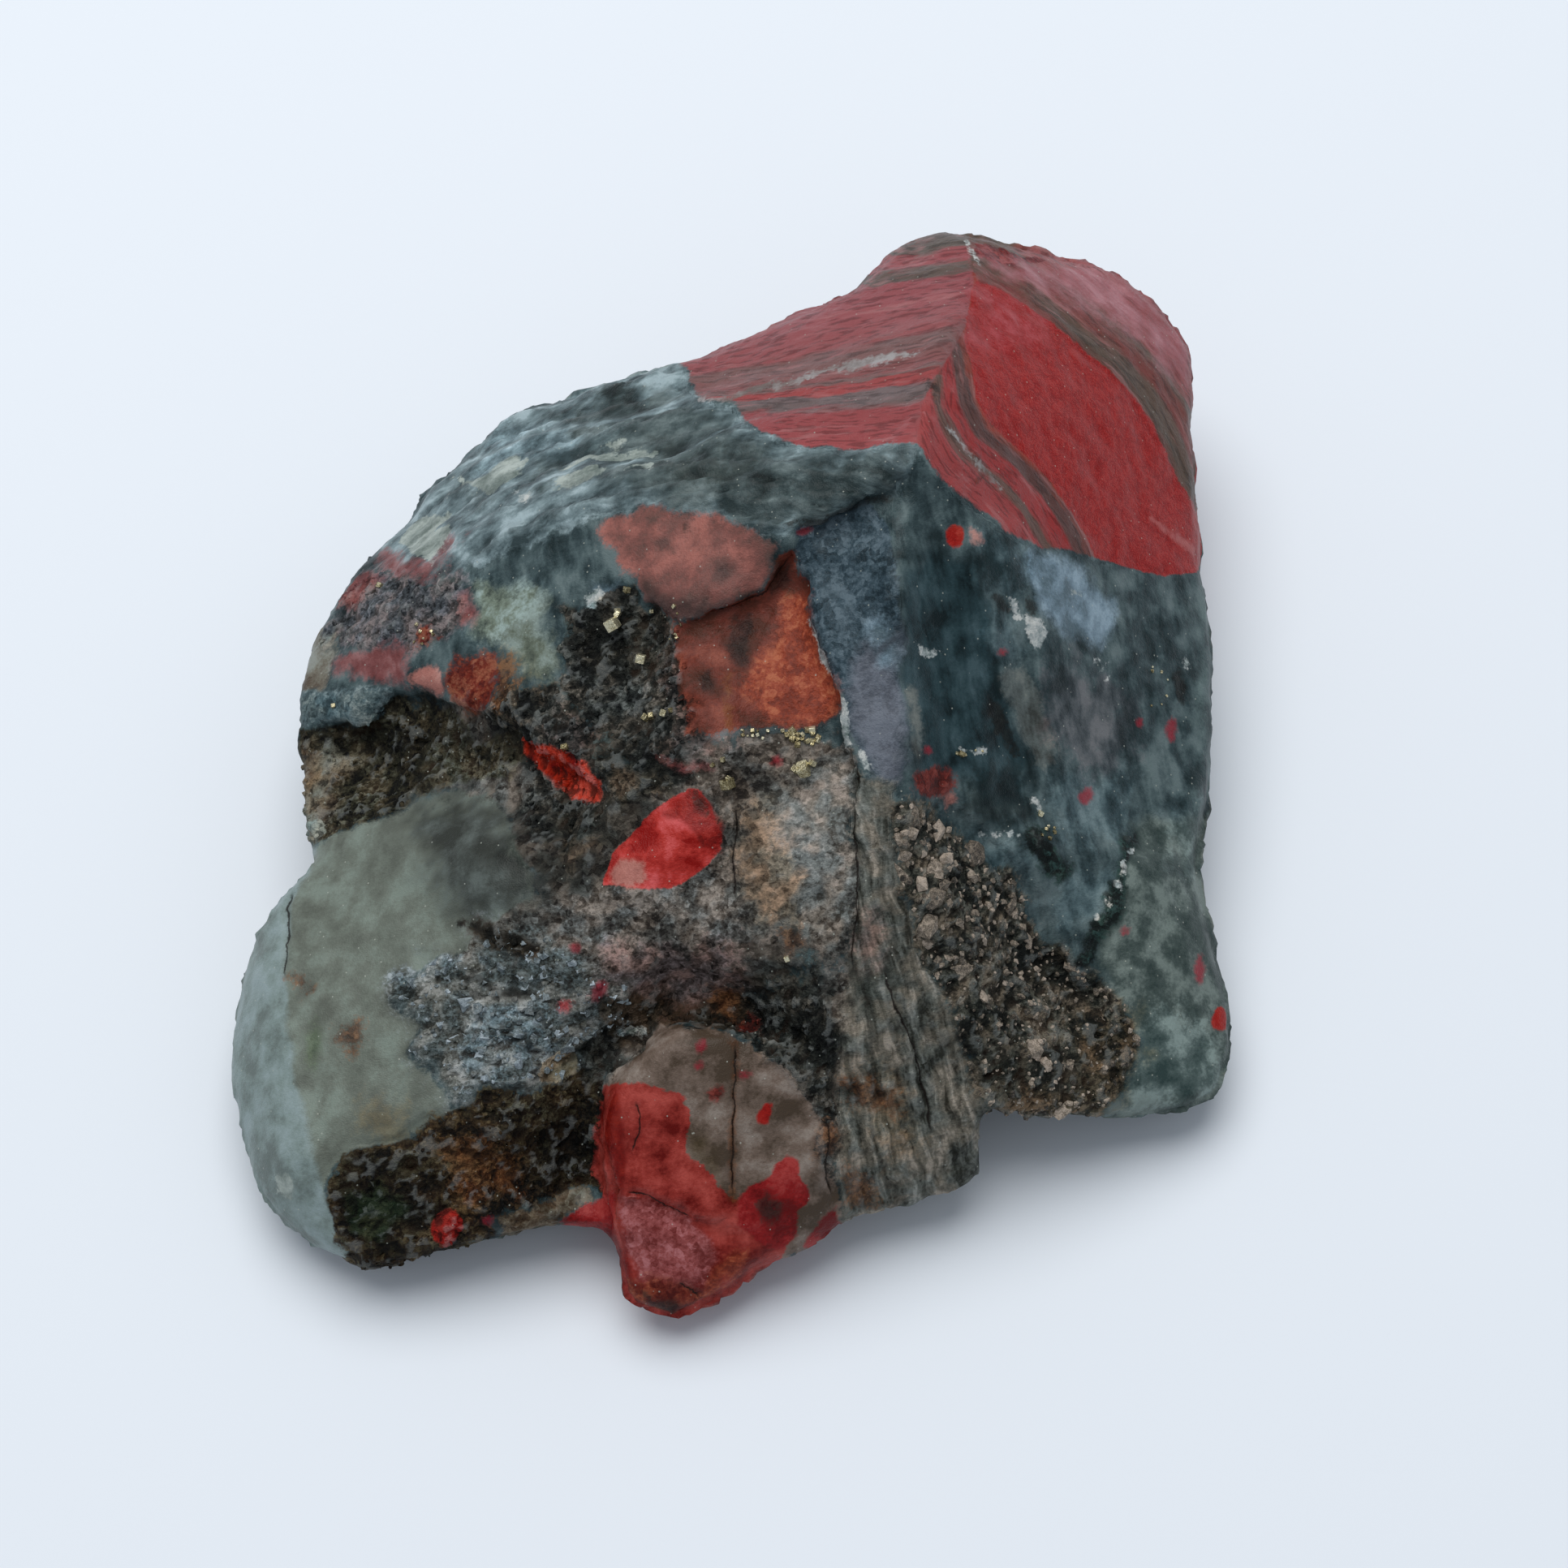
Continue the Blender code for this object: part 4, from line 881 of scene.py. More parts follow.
# Colours of the small pieces from dark to light, and the noise at which the darkest and the
# lightest stand
FROST_COLOURS = [(82, 89, 90), (108, 118, 121), (134, 146, 152), (166, 177, 184)]
TAN_COLOURS = [(40, 37, 32), (76, 69, 60), (108, 98, 86), (138, 126, 112), (170, 156, 142)]
PYRITE_COLOURS = [(96, 86, 58), (150, 138, 100), (196, 186, 150), (226, 220, 190)]
SPECK_LOW = 0.37
SPECK_SPAN = 0.26

# How many different shapes a piece of many small ones has, and how uneven lumps are
SHAPES = 12
UNEVEN = 0.28

# Heights on the frame between which the hollow's grains get larger and closer, in millimetres
HOLLOW_HEIGHTS = (-22.0, -6.0)

# How far round its place a cube of pyrite may stand, in millimetres
PYRITE_REACH = 0.35

# The large soft light and the floor in metres, the light from all round, and the camera's lens
# and sensor in millimetres
WINDOW_PLACE = (-0.08, 0.20, 0.66)
WINDOW_SIZE = 0.7
WINDOW_COLOUR = (1.0, 0.99, 0.97)
SKY_COLOUR = (0.86, 0.92, 1.0, 1.0)
LENS = 70.0
SENSOR = 36.0
FLOOR_HALF_SIZE = 1.5

RANDOM = np.random.default_rng(23)
SHUFFLE = RANDOM.permutation(256)
SLOPES = RANDOM.normal(size=(256, 3))
SLOPES /= np.linalg.norm(SLOPES, axis=1)[:, None]
JITTER = RANDOM.random((256, 3))


def smooth_step(low, high, value):
    """0 at low, 1 at high, with a smooth rise between them."""
    t = np.clip((value - low) / (high - low), 0.0, 1.0)
    return t * t * (3.0 - 2.0 * t)


def shuffled(cells, salt):
    """A whole number from 0 to 255 for each cell of a lattice."""
    x, y, z = cells.T & 255
    return SHUFFLE[(SHUFFLE[(SHUFFLE[(x + salt) & 255] + y) & 255] + z) & 255]


def smooth_noise(places, salt=0):
    """Gradient noise, about -1 to 1."""
    base = np.floor(places).astype(int)
    within = places - base
    ease = within ** 3 * (within * (within * 6.0 - 15.0) + 10.0)
    total = np.zeros(len(places))
    for corner in itertools.product((0, 1), repeat=3):
        slopes = SLOPES[shuffled(base + corner, salt)]
        weights = np.where(corner, ease, 1.0 - ease)
        total += np.sum(slopes * (within - corner), axis=1) * np.prod(weights, axis=1)
    return total * 1.5


def fractal(places, rate, octaves=3, salt=0):
    """Noise with finer and fainter noise on it."""
    total = np.zeros(len(places))
    for octave in range(octaves):
        total += smooth_noise(places * rate * 2.1 ** octave, salt + octave) * 0.5 ** octave
    return total


def ridged(places, rate, octaves=3, salt=0):
    """Sharp little ridges, about -1 to 1."""
    total = np.zeros(len(places))
    for octave in range(octaves):
        fold = 1.0 - 3.0 * np.abs(smooth_noise(places * rate * 2.1 ** octave, salt + octave))
        total += fold * 0.5 ** octave
    return total * 0.6


def cells(places, salt=0):
    """Distance to the nearest cell's middle, the way to it, and the cell's number."""
    base = np.floor(places).astype(int)
    nearest = np.full(len(places), np.inf)
    offset = np.zeros(places.shape)
    number = np.zeros(len(places), dtype=int)
    for step in itertools.product((-1, 0, 1), repeat=3):
        cell = base + step
        candidate = shuffled(cell, salt)
        way = places - cell - JITTER[candidate]
        gap = np.sum(way * way, axis=1)
        closer = gap < nearest
        nearest = np.where(closer, gap, nearest)
        offset = np.where(closer[:, None], way, offset)
        number = np.where(closer, candidate, number)
    return np.sqrt(nearest), offset, number


def facets(places, rate, salt=0):
    """Flat little faces, each with its own height and tilt, about -1 to 1."""
    _, offset, number = cells(places * rate, salt)
    return 1.2 * JITTER[number, 0] - 0.6 + np.sum(SLOPES[number] * offset, axis=1)


def scoops(places, rate, salt=0):
    """Shallow hollows that meet in sharp ridges, about -1 to 1."""
    distance, _, _ = cells(places * rate, salt)
    return np.minimum(2.6 * distance ** 2, 2.0) - 0.8


def traced(places):
    """Pixels of the frame as millimetres across and up from the target."""
    return [((x - FRAME_MIDDLE) * PIXEL, (FRAME_MIDDLE - y) * PIXEL) for x, y, *_ in places]


def line_distance(across, up, line):
    """Signed distance to a line, positive on its right hand, and how far along it that is."""
    corners = np.array(line, dtype=float)
    lengths = np.linalg.norm(np.diff(corners, axis=0), axis=1)
    starts = np.concatenate([[0.0], np.cumsum(lengths)])
    nearest = np.full(across.shape, np.inf)
    side = np.ones(across.shape)
    along = np.zeros(across.shape)
    for (ax, ay), (bx, by), length, start in zip(corners, corners[1:], lengths, starts):
        dx, dy = (bx - ax) / length, (by - ay) / length
        t = np.clip((across - ax) * dx + (up - ay) * dy, 0.0, length)
        gap = np.hypot(across - ax - dx * t, up - ay - dy * t)
        hand = (across - ax) * dy - (up - ay) * dx
        closer = gap < nearest - 1e-6
        nearest = np.where(closer, gap, nearest)
        side = np.where(closer, np.where(hand >= 0.0, 1.0, -1.0), side)
        along = np.where(closer, start + t, along)
    return nearest * side, along / starts[-1]


def fading(along, length=0.1):
    """1 along a line, and less towards its two ends."""
    return smooth_step(0.0, length, along) * smooth_step(1.0, 1.0 - length, along)


def inside(across, up, outline):
    """How far inside a closed outline points are seen, negative outside."""
    corners = np.array(outline)
    near = (across > corners[:, 0].min() - REACH) & (across < corners[:, 0].max() + REACH)
    near &= (up > corners[:, 1].min() - REACH) & (up < corners[:, 1].max() + REACH)
    result = np.full(across.shape, -REACH)
    a, u = across[near], up[near]
    closed = list(outline) + [outline[0]]
    distance, _ = line_distance(a, u, closed)
    within = np.zeros(a.shape, dtype=bool)
    for (ax, ay), (bx, by) in zip(closed, closed[1:]):
        if ay != by:
            within ^= ((ay > u) != (by > u)) & (a < (bx - ax) * (u - ay) / (by - ay) + ax)
    result[near] = np.where(within, np.abs(distance), -np.abs(distance))
    return result


def in_vein(across, up, vein):
    """How far inside a vein of changing width points are seen."""
    line = traced(vein)
    distance, along = line_distance(across, up, line)
    lengths = [math.dist(a, b) for a, b in zip(line, line[1:])]
    corners = np.concatenate([[0.0], np.cumsum(lengths)]) / sum(lengths)
    half_widths = np.array([half for _, _, half in vein]) * PIXEL
    return np.interp(along, corners, half_widths) - np.abs(distance)


def in_spot(across, up, spot):
    """How far inside an oval spot points are seen."""
    x, y, half_wide, half_high, turn = spot
    ((middle_x, middle_y),) = traced([(x, y)])
    cos, sin = math.cos(math.radians(turn)), math.sin(math.radians(turn))
    dx, dy = across - middle_x, up - middle_y
    r = np.hypot((dx * cos + dy * sin) / half_wide, (dy * cos - dx * sin) / half_high) / PIXEL
    return (1.0 - r) * min(half_wide, half_high) * PIXEL


def how_far_in(name, across, up):
    """How far inside a mineral points are seen, at most REACH either way."""
    best = np.full(across.shape, -REACH)
    for outline in OUTLINES.get(name, ()):
        best = np.maximum(best, inside(across, up, traced(outline)))
    for vein in VEINS.get(name, ()):
        best = np.maximum(best, in_vein(across, up, vein))
    for spot in SPOTS.get(name, ()):
        best = np.maximum(best, in_spot(across, up, spot))
    return np.clip(best, -REACH, REACH)


def turned(across, up, nearer, degrees):
    """Places in a frame that is turned about the line of sight."""
    cos, sin = math.cos(math.radians(degrees)), math.sin(math.radians(degrees))
    return np.stack([across * cos + up * sin, up * cos - across * sin, nearer], 1)


def read_vectors(items, field):
    """A vector for each item, as rows of numbers."""
    values = np.empty(len(items) * 3, dtype=np.float32)
    items.foreach_get(field, values)
    return values.reshape(-1, 3).astype(float)


def write_attribute(mesh, name, values):
    """Keeps a number or a vector for each vertex of a mesh."""
    kind, field = ("FLOAT", "value") if values.ndim == 1 else ("FLOAT_VECTOR", "vector")
    kept = mesh.attributes.new(name, kind, "POINT")
    kept.data.foreach_set(field, values.astype(np.float32).ravel())


class Skin:
    """The vertices of the skin: where they are, where they are seen, and what is kept there."""

    def __init__(self, mesh):
        self.mesh = mesh
        self.points = read_vectors(mesh.vertices, "co") / MM
        self.normals = read_vectors(mesh.vertices, "normal")
        offset = self.points - np.array(SIGHT_TARGET)
        self.nearer = offset @ np.array(SIGHT_BACK)
        scale = SIGHT_DISTANCE / (SIGHT_DISTANCE - self.nearer)
        self.across = offset @ np.array(SIGHT_RIGHT) * scale
        self.up = offset @ np.array(SIGHT_UP) * scale
        to_eye = np.array(EYE) - self.points
        slant = np.sum(self.normals * to_eye, axis=1) / np.linalg.norm(to_eye, axis=1)
        self.facing = smooth_step(0.0, 0.3, slant)
        self.hidden = 1.0 - smooth_step(-0.2, 0.1, slant)
        self.kept = {}

    @cached_property
    def bend(self):
        """Broad bends across and up, for edges and lines that wander."""
        return [fractal(self.points, 0.42, 4, salt) for salt in (31, 47)]

    @cached_property
    def drift(self):
        """How far the minerals that go through the stone stray on its hidden sides."""
        return [self.hidden * 5.0 * fractal(self.points, 0.09, 3, salt) for salt in (61, 77)]

    def mineral(self, name, wander):
        """How far inside a mineral each vertex lies, with an edge that wanders."""
        across = self.across + wander * self.bend[0]
        up = self.up + wander * self.bend[1]
        if name in THROUGH:
            return how_far_in(name, across + self.drift[0], up + self.drift[1])
        return how_far_in(name, across, up) - 2.0 * REACH * (1.0 - self.facing)

    def along(self, line, bend=0.0):
        """Signed distance of each vertex to a line, and how far along it lies."""
        return line_distance(self.across + bend * self.bend[0],
                             self.up + bend * self.bend[1], line)

    def levelled(self, values, rounds):
        """Values averaged over each vertex's neighbours, round by round."""
        ends = np.empty(len(self.mesh.edges) * 2, dtype=np.int32)
        self.mesh.edges.foreach_get("vertices", ends)
        first, second = ends.reshape(-1, 2).T
        count = np.maximum(np.bincount(ends, minlength=len(values)), 1)
        for _ in range(rounds):
            total = np.bincount(first, values[second], len(values))
            total += np.bincount(second, values[first], len(values))
            values = 0.4 * values + 0.6 * total / count
        return values


def packed(kept):
    """The numbers that the skin keeps, three by three in vectors, and the flow."""
    vectors = {"flow": kept["flow"]}
    for name, (group, axis) in PACKED.items():
        vectors.setdefault(group, np.zeros(kept["flow"].shape))[:, axis] = kept[name]
    return vectors


def new_piece(name, mesh, material):
    """An object of the stone, at the origin, that rides on its body."""
    mesh.materials.clear()
    mesh.materials.append(material)
    piece = bpy.data.objects.new(name, mesh)
    bpy.context.scene.collection.objects.link(piece)
    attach(piece, BODY)
    return piece


def even_skin(voxel):
    """A copy of the solid's skin with small even faces, and smaller ones where it is seen."""
    bm = bmesh.new()
    bm.from_mesh(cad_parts[NODE].data)
    bmesh.ops.remove_doubles(bm, verts=bm.verts, dist=0.001 * MM)
    mesh = bpy.data.meshes.new(SKIN_NAME)
    bm.to_mesh(mesh)
    bm.free()
    worked = bpy.data.objects.new("worked_skin", mesh)
    bpy.context.scene.collection.objects.link(worked)
    even = worked.modifiers.new("even", "REMESH")
    even.mode = "VOXEL"
    even.voxel_size = voxel
    bpy.context.view_layer.update()
    graph = bpy.context.evaluated_depsgraph_get()
    bm = bmesh.new()
    bm.from_object(worked, graph)
    bpy.data.objects.remove(worked)
    bm.normal_update()
    finer = [e for e in bm.edges
             if any(f.normal.dot(SIGHT_BACK) > FINER_FROM for f in e.link_faces)]
    bmesh.ops.subdivide_edges(bm, edges=finer, cuts=1, use_grid_fill=True)
    for _ in range(2):
        bmesh.ops.smooth_vert(bm, verts=bm.verts, factor=0.4, use_axis_x=True, use_axis_y=True,
                              use_axis_z=True)
    mesh.clear_geometry()
    bm.to_mesh(mesh)
    bm.free()
    return mesh


def calm(skin, minerals):
    """Takes the solid's coarse facets out of the smooth minerals."""
    mask = np.zeros(len(skin.points))
    for name in SMOOTH:
        mask = np.maximum(mask, smooth_step(-0.6, 0.8, minerals[name]))
    mask *= skin.facing
    rounded = np.stack([skin.levelled(axis, CALM_ROUNDS) for axis in skin.points.T], 1)
    skin.points = skin.points + (rounded - skin.points) * mask[:, None]


def coarseness(skin, minerals):
    """Height of the broken grain at each vertex, in millimetres."""
    height = np.full(len(skin.points), PLAIN_GRAIN)
    for name, grain in GRAIN.items():
        height = np.maximum(height, grain * smooth_step(-0.7, 0.7, minerals[name]))
    for name in SMOOTH:
        height *= 1.0 - 0.85 * smooth_step(-0.2, 0.4, minerals[name])
    return height + (HIDDEN_GRAIN - height) * skin.hidden


def line_relief(skin):
    """Ledges, sharp edges and cracks, as heights."""
    moved = np.zeros(len(skin.points))
    for line, drop in LEDGES:
        distance, along = skin.along(line, LEDGE_BEND)
        step = smooth_step(0.0, LEDGE_WALL, distance) * smooth_step(LEDGE_REACH, 0.5, distance)
        moved -= drop * step * fading(along)
    for line, rise in ARRISES:
        distance, along = skin.along(line, ARRIS_BEND)
        moved += rise * np.clip(1.0 - np.abs(distance) / ARRIS_REACH, 0.0, 1.0) * fading(along)
    for crack in CRACKS:
        distance, along = skin.along(traced(crack), CRACK_BEND)
        moved -= CRACK_DEPTH * smooth_step(CRACK_HALF_WIDTH, 0.0, np.abs(distance)) * fading(along)
    return moved * skin.facing


def grain_relief(skin, height, flow, minerals):
    """Broken grain, terraces, ribs and flutes, as heights."""
    points = skin.points
    moved = height * (0.55 * scoops(points, 0.3, 3) + 0.5 * scoops(points, 0.8, 5)
                      + 0.55 * facets(points, 1.25, 7) + 0.35 * ridged(points, 1.7, 2, 9))
    moved += skin.hidden * (0.4 * scoops(points, 0.16, 13) + 0.25 * facets(points, 0.3, 15))

    def face(name):
        return smooth_step(-0.2, 1.0, minerals[name]) * skin.facing

    beds = flow[:, 1] / FLOW_RATES["streaks"][1] / BED_STEP + 0.45 * fractal(flow, 0.3, 2, 19)
    part = beds - np.floor(beds)
    step = smooth_step(0.0, 0.8, part) * smooth_step(1.0, 0.88, part)
    ridges, lines, waves = ridged(flow, 0.8, 3, 23), fractal(flow, 1.0, 2, 21), skin.bend[0]
    moved += face("streaks") * (0.3 * (step - 0.5) + 0.06 * lines)
    for name, depth in RIDGED_FACES:
        moved += face(name) * depth * ridges
    for name, depth in LINED_FACES:
        moved += face(name) * depth * lines
    return moved + 0.1 * waves


def settle(skin, moved):
    """Moves the skin, and keeps it inside the solid's box and flat where it rests."""
    low, high = (np.array(corner) / MM for corner in CAD_BOX)
    resting = smooth_step(0.25, 1.2, skin.points[:, 2] - low[2])
    points = skin.points + skin.normals * (moved * resting)[:, None]
    skin.points = np.clip(points, low, high)
    skin.mesh.vertices.foreach_set("co", (skin.points * MM).astype(np.float32).ravel())
    skin.mesh.update()
    skin.normals = read_vectors(skin.mesh.vertices, "normal")


def flow_places(skin, minerals, bed_height, lens_out):
    """Places whose first axis runs along each mineral's own lines."""
    across = skin.across + FLOW_BEND * skin.bend[0]
    up = skin.up + FLOW_BEND * skin.bend[1]
    flow = turned(across, up, skin.nearer, GROUND_TURN) * np.array(FLOW_RATES["ground"])
    for name, (turn, rates) in FLOWS.items():
        own = turned(across, up, skin.nearer, turn) * np.array(rates)
        flow = np.where((minerals[name] > 0.0)[:, None], own, flow)
    dx, dy = across - STREAK_MIDDLE[0], up - STREAK_MIDDLE[1]
    arcs = np.stack([np.arctan2(dx, np.maximum(dy, 0.5)) * STREAK_RADIUS, np.hypot(dx, dy),
                     skin.nearer], 1)
    flow = np.where((minerals["streaks"] > 0.0)[:, None],
                    arcs * np.array(FLOW_RATES["streaks"]), flow)
    beds = np.stack([across, bed_height, skin.nearer], 1)
    along_bands = turned(across, up, skin.nearer, BAND_TURN)[:, 0]
    bands = np.stack([along_bands, lens_out, skin.nearer], 1)
    block = np.where((minerals["crest"] > 0.0)[:, None], bands, beds)
    return np.where((minerals["jasper"] > -0.3)[:, None],
                    block * np.array(FLOW_RATES["jasper"]), flow)


def crack_line(skin):
    """Signed distance to the nearest crack, and how much it counts there."""
    nearest = np.full(len(skin.points), REACH)
    weight = np.zeros(len(skin.points))
    for crack in CRACKS:
        distance, along = skin.along(traced(crack), CRACK_BEND)
        closer = np.abs(distance) < np.abs(nearest)
        nearest = np.where(closer, distance, nearest)
        near = fading(along) * smooth_step(CRACK_REACH, 0.6, np.abs(distance))
        weight = np.where(closer, near, weight)
    return nearest, weight * skin.facing


def rgb(red, green, blue):
    """A colour as it is seen, 0 to 255, as a linear colour."""
    def linear(value):
        value /= 255.0
        return value / 12.92 if value <= 0.04045 else ((value + 0.055) / 1.055) ** 2.4
    return (linear(red), linear(green), linear(blue), 1.0)


class Painter:
    """Adds and joins the nodes of one material."""

    def __init__(self, name):
        self.material = bpy.data.materials.new(name)
        self.material.use_nodes = True
        self.tree = self.material.node_tree
        self.tree.nodes.clear()
        self.split = {}
        self.output = self.add("ShaderNodeOutputMaterial")
        corner = self.add("ShaderNodeTexCoord").outputs["Object"]
        self.place = self.add("ShaderNodeMapping", {
            "Vector": corner, "Scale": (1.0 / MM,) * 3}).outputs["Vector"]

    def add(self, kind, inputs=None, **settings):
        node = self.tree.nodes.new(kind)
        for key, value in settings.items():
            setattr(node, key, value)
        for key, value in (inputs or {}).items():
            self.put(node.inputs[key], value)
        return node

    def put(self, socket, value):
        if isinstance(value, bpy.types.NodeSocket):
            self.tree.links.new(value, socket)
        else:
            socket.default_value = value

    def value(self, name):
        """A number that the skin keeps, alone or as one axis of a vector."""
        if name not in PACKED:
            return self.add("ShaderNodeAttribute", attribute_name=name).outputs["Fac"]
        group, axis = PACKED[name]
        if group not in self.split:
            self.split[group] = self.add("ShaderNodeSeparateXYZ", {0: self.vector(group)})
        return self.split[group].outputs[axis]

    def vector(self, name):
        return self.add("ShaderNodeAttribute", attribute_name=name).outputs["Vector"]

    def noise(self, scale, detail=4.0, roughness=0.6, place=None):
        node = self.add("ShaderNodeTexNoise", {
            "Vector": place or self.place, "Scale": scale, "Detail": detail,
            "Roughness": roughness})
        return node.outputs["Fac"]

    def math(self, operation, a, b=0.0, c=0.0):
        return self.add("ShaderNodeMath", {0: a, 1: b, 2: c}, operation=operation).outputs[0]

    def sum(self, *parts):
        """Patterns added up, each with its share."""
        total = 0.0
        for share, part in parts:
            total = self.math("MULTIPLY_ADD", part, share, total)
        return total

    def smooth(self, value, low, high, start=0.0, end=1.0):
        node = self.add("ShaderNodeMapRange", {
            "Value": value, "From Min": low, "From Max": high, "To Min": start, "To Max": end},
            interpolation_type="SMOOTHSTEP")
        return node.outputs["Result"]

    def mix(self, factor, a, b, blend="MIX"):
        node = self.add("ShaderNodeMix", {0: factor, 6: a, 7: b}, data_type="RGBA",
                        blend_type=blend, clamp_factor=True)
        return node.outputs[2]

    def ramp(self, value, stops):
        """Colours at rising values."""
        low, high = stops[0][0], stops[-1][0]
        span = self.add("ShaderNodeMapRange", {"Value": value, "From Min": low, "From Max": high})
        node = self.add("ShaderNodeValToRGB", {"Fac": span.outputs["Result"]})
        elements = node.color_ramp.elements
        while len(elements) < len(stops):
            elements.new(0.5)
        for element, (place, colour) in zip(elements, stops):
            element.position = (place - low) / (high - low)
            element.color = rgb(*colour)
        return node.outputs["Color"]

    def inside(self, name, ragged, soft, rough):
        """1 inside a mineral and 0 outside, with an edge that wanders by ragged mm."""
        wander = self.math("MULTIPLY_ADD", rough, EDGE_NOISE * ragged, self.value(name))
        middle = 0.5 * EDGE_NOISE * ragged
        return self.smooth(wander, middle - soft, middle + soft)

    def finish(self, colour, roughness, height, depth, **constants):
        """A surface with its bump, and with values that are the same all over."""
        bump = self.add("ShaderNodeBump", {"Strength": 1.0, "Distance": depth * MM,
                                           "Height": height})
        shader = self.add("ShaderNodeBsdfPrincipled", {
            "Base Color": colour, "Roughness": roughness, "Normal": bump.outputs["Normal"]})
        for name, value in constants.items():
            shader.inputs[SOCKETS[name]].default_value = value
        self.tree.links.new(shader.outputs["BSDF"], self.output.inputs["Surface"])
        return self.material


class Patterns:
    """The patterns that the stone's minerals share."""

    def __init__(self, p):
        wide, soft = p.value("wide"), p.value("soft")
        flow = p.vector("flow")
        self.middle = p.noise(1.25, 3.0, 0.6)
        self.fine = p.noise(4.0, 2.0, 0.6)
        self.grit = p.noise(11.0, 0.0, 0.5)
        self.line = p.noise(1.0, 3.0, 0.55, flow)
        self.thin_line = p.noise(3.1, 1.0, 0.5, flow)
        specks = p.add("ShaderNodeTexVoronoi", {"Vector": p.place, "Scale": 2.3})
        self.gap = specks.outputs["Distance"]
        tone = p.add("ShaderNodeSeparateColor", {"Color": specks.outputs["Color"]})
        self.tone, self.pick = tone.outputs[0], tone.outputs[1]
        self.edge = p.sum((0.6, self.middle), (0.4, self.fine))
        self.painter = p
        self.weights = {}
        self.by_name = {
            "wide": p.sum((0.62, wide), (0.22, self.middle), (0.16, self.fine)),
            "soft": p.sum((0.35, wide), (0.4, soft), (0.12, self.middle), (0.13, self.fine)),
            "lines": p.sum((0.42, self.line), (0.3, soft), (0.14, self.thin_line),
                           (0.14, self.fine)),
            "soft_lines": p.sum((0.22, self.line), (0.35, soft), (0.25, wide),
                                (0.1, self.thin_line), (0.08, self.fine)),
            "crumbs": p.sum((0.1, self.tone), (0.26, wide), (0.2, soft), (0.22, self.middle),
                            (0.22, self.fine)),
            "lined_crumbs": p.sum((0.06, self.tone), (0.3, self.line), (0.3, self.fine),
                                  (0.34, soft)),
            "grit": p.sum((0.35, self.middle), (0.35, self.fine), (0.3, self.grit)),
        }

    def shades(self, name, colours):
        """Colours from dark to light, evenly over a pattern's usual values."""
        p, steps = self.painter, len(colours) - 1
        if (name, steps) not in self.weights:
            low, step = 0.5 - SPREAD, 2.0 * SPREAD / steps
            self.weights[name, steps] = [
                p.add("ShaderNodeMapRange", {
                    "Value": self.by_name[name], "From Min": low + i * step,
                    "From Max": low + (i + 1) * step}).outputs["Result"] for i in range(steps)]
        colour = rgb(*colours[0])
        for weight, lighter in zip(self.weights[name, steps], colours[1:]):
            colour = p.mix(weight, colour, rgb(*lighter))
        return colour


def hidden_colour(p, t):
    """Green chalcedony with red and pale patches, for the sides that the frame doesn't show."""
    ground = t.shades("crumbs", HIDDEN_GREEN)
    edge = p.sum((0.7, p.value("blob")), (0.3, t.middle))
    ground = p.mix(p.smooth(edge, 0.4, 0.33), ground, t.shades("wide", HIDDEN_PALE))
    return p.mix(p.smooth(edge, 0.585, 0.61), ground, t.shades("crumbs", HIDDEN_RED))


def jasper_colour(p, t):
    """Beds left of the crest, and the bands round the lens right of it."""
    wander = p.math("MULTIPLY_ADD", t.line, 2.2, -1.1)
    beds = p.ramp(p.math("ADD", p.value("bed_height"), wander), BEDS)
    soft = p.math("MULTIPLY_ADD", t.line, 1.2, -0.6)
    left, right = p.value("lens_left"), p.value("lens_right")
    left_bands = p.ramp(p.math("ADD", left, soft), LEFT_BANDS)
    right_bands = p.ramp(p.math("ADD", right, soft), RIGHT_BANDS)
    bands = p.mix(p.smooth(p.math("SUBTRACT", left, right), -0.2, 0.2), right_bands, left_bands)
    block = p.mix(p.inside("crest", 0.1, 0.08, t.edge), beds, bands)
    lines = p.smooth(t.thin_line, 0.36, 0.5, 0.62, 1.0)
    block = p.mix(1.0, block, p.add("ShaderNodeCombineColor", {0: lines, 1: lines, 2: lines})
                  .outputs[0], "MULTIPLY")
    return p.mix(p.smooth(t.line, 0.56, 0.7, 0.0, 0.4), block, rgb(172, 118, 118))


def stone_colour(p, t):
    """The colour of the stone, one mineral over another, with painted shade, sheen and highlight
    among them.
    """
    colour = p.mix(p.smooth(p.value("hidden"), 0.2, 0.8), t.shades("soft_lines", GROUND),
                   hidden_colour(p, t))
    for name, pattern, _, ragged, soft, amount, colours in LAYERS:
        mask = p.math("MULTIPLY", p.inside(name, ragged, soft, t.edge), amount)
        if pattern == "tint":
            laid = p.mix(1.0, colour, tuple(colours[0]), "MULTIPLY")
        elif pattern == "jasper":
            laid = jasper_colour(p, t)
        else:
            laid = t.shades(pattern, colours)
        colour = p.mix(mask, colour, laid)
    return colour


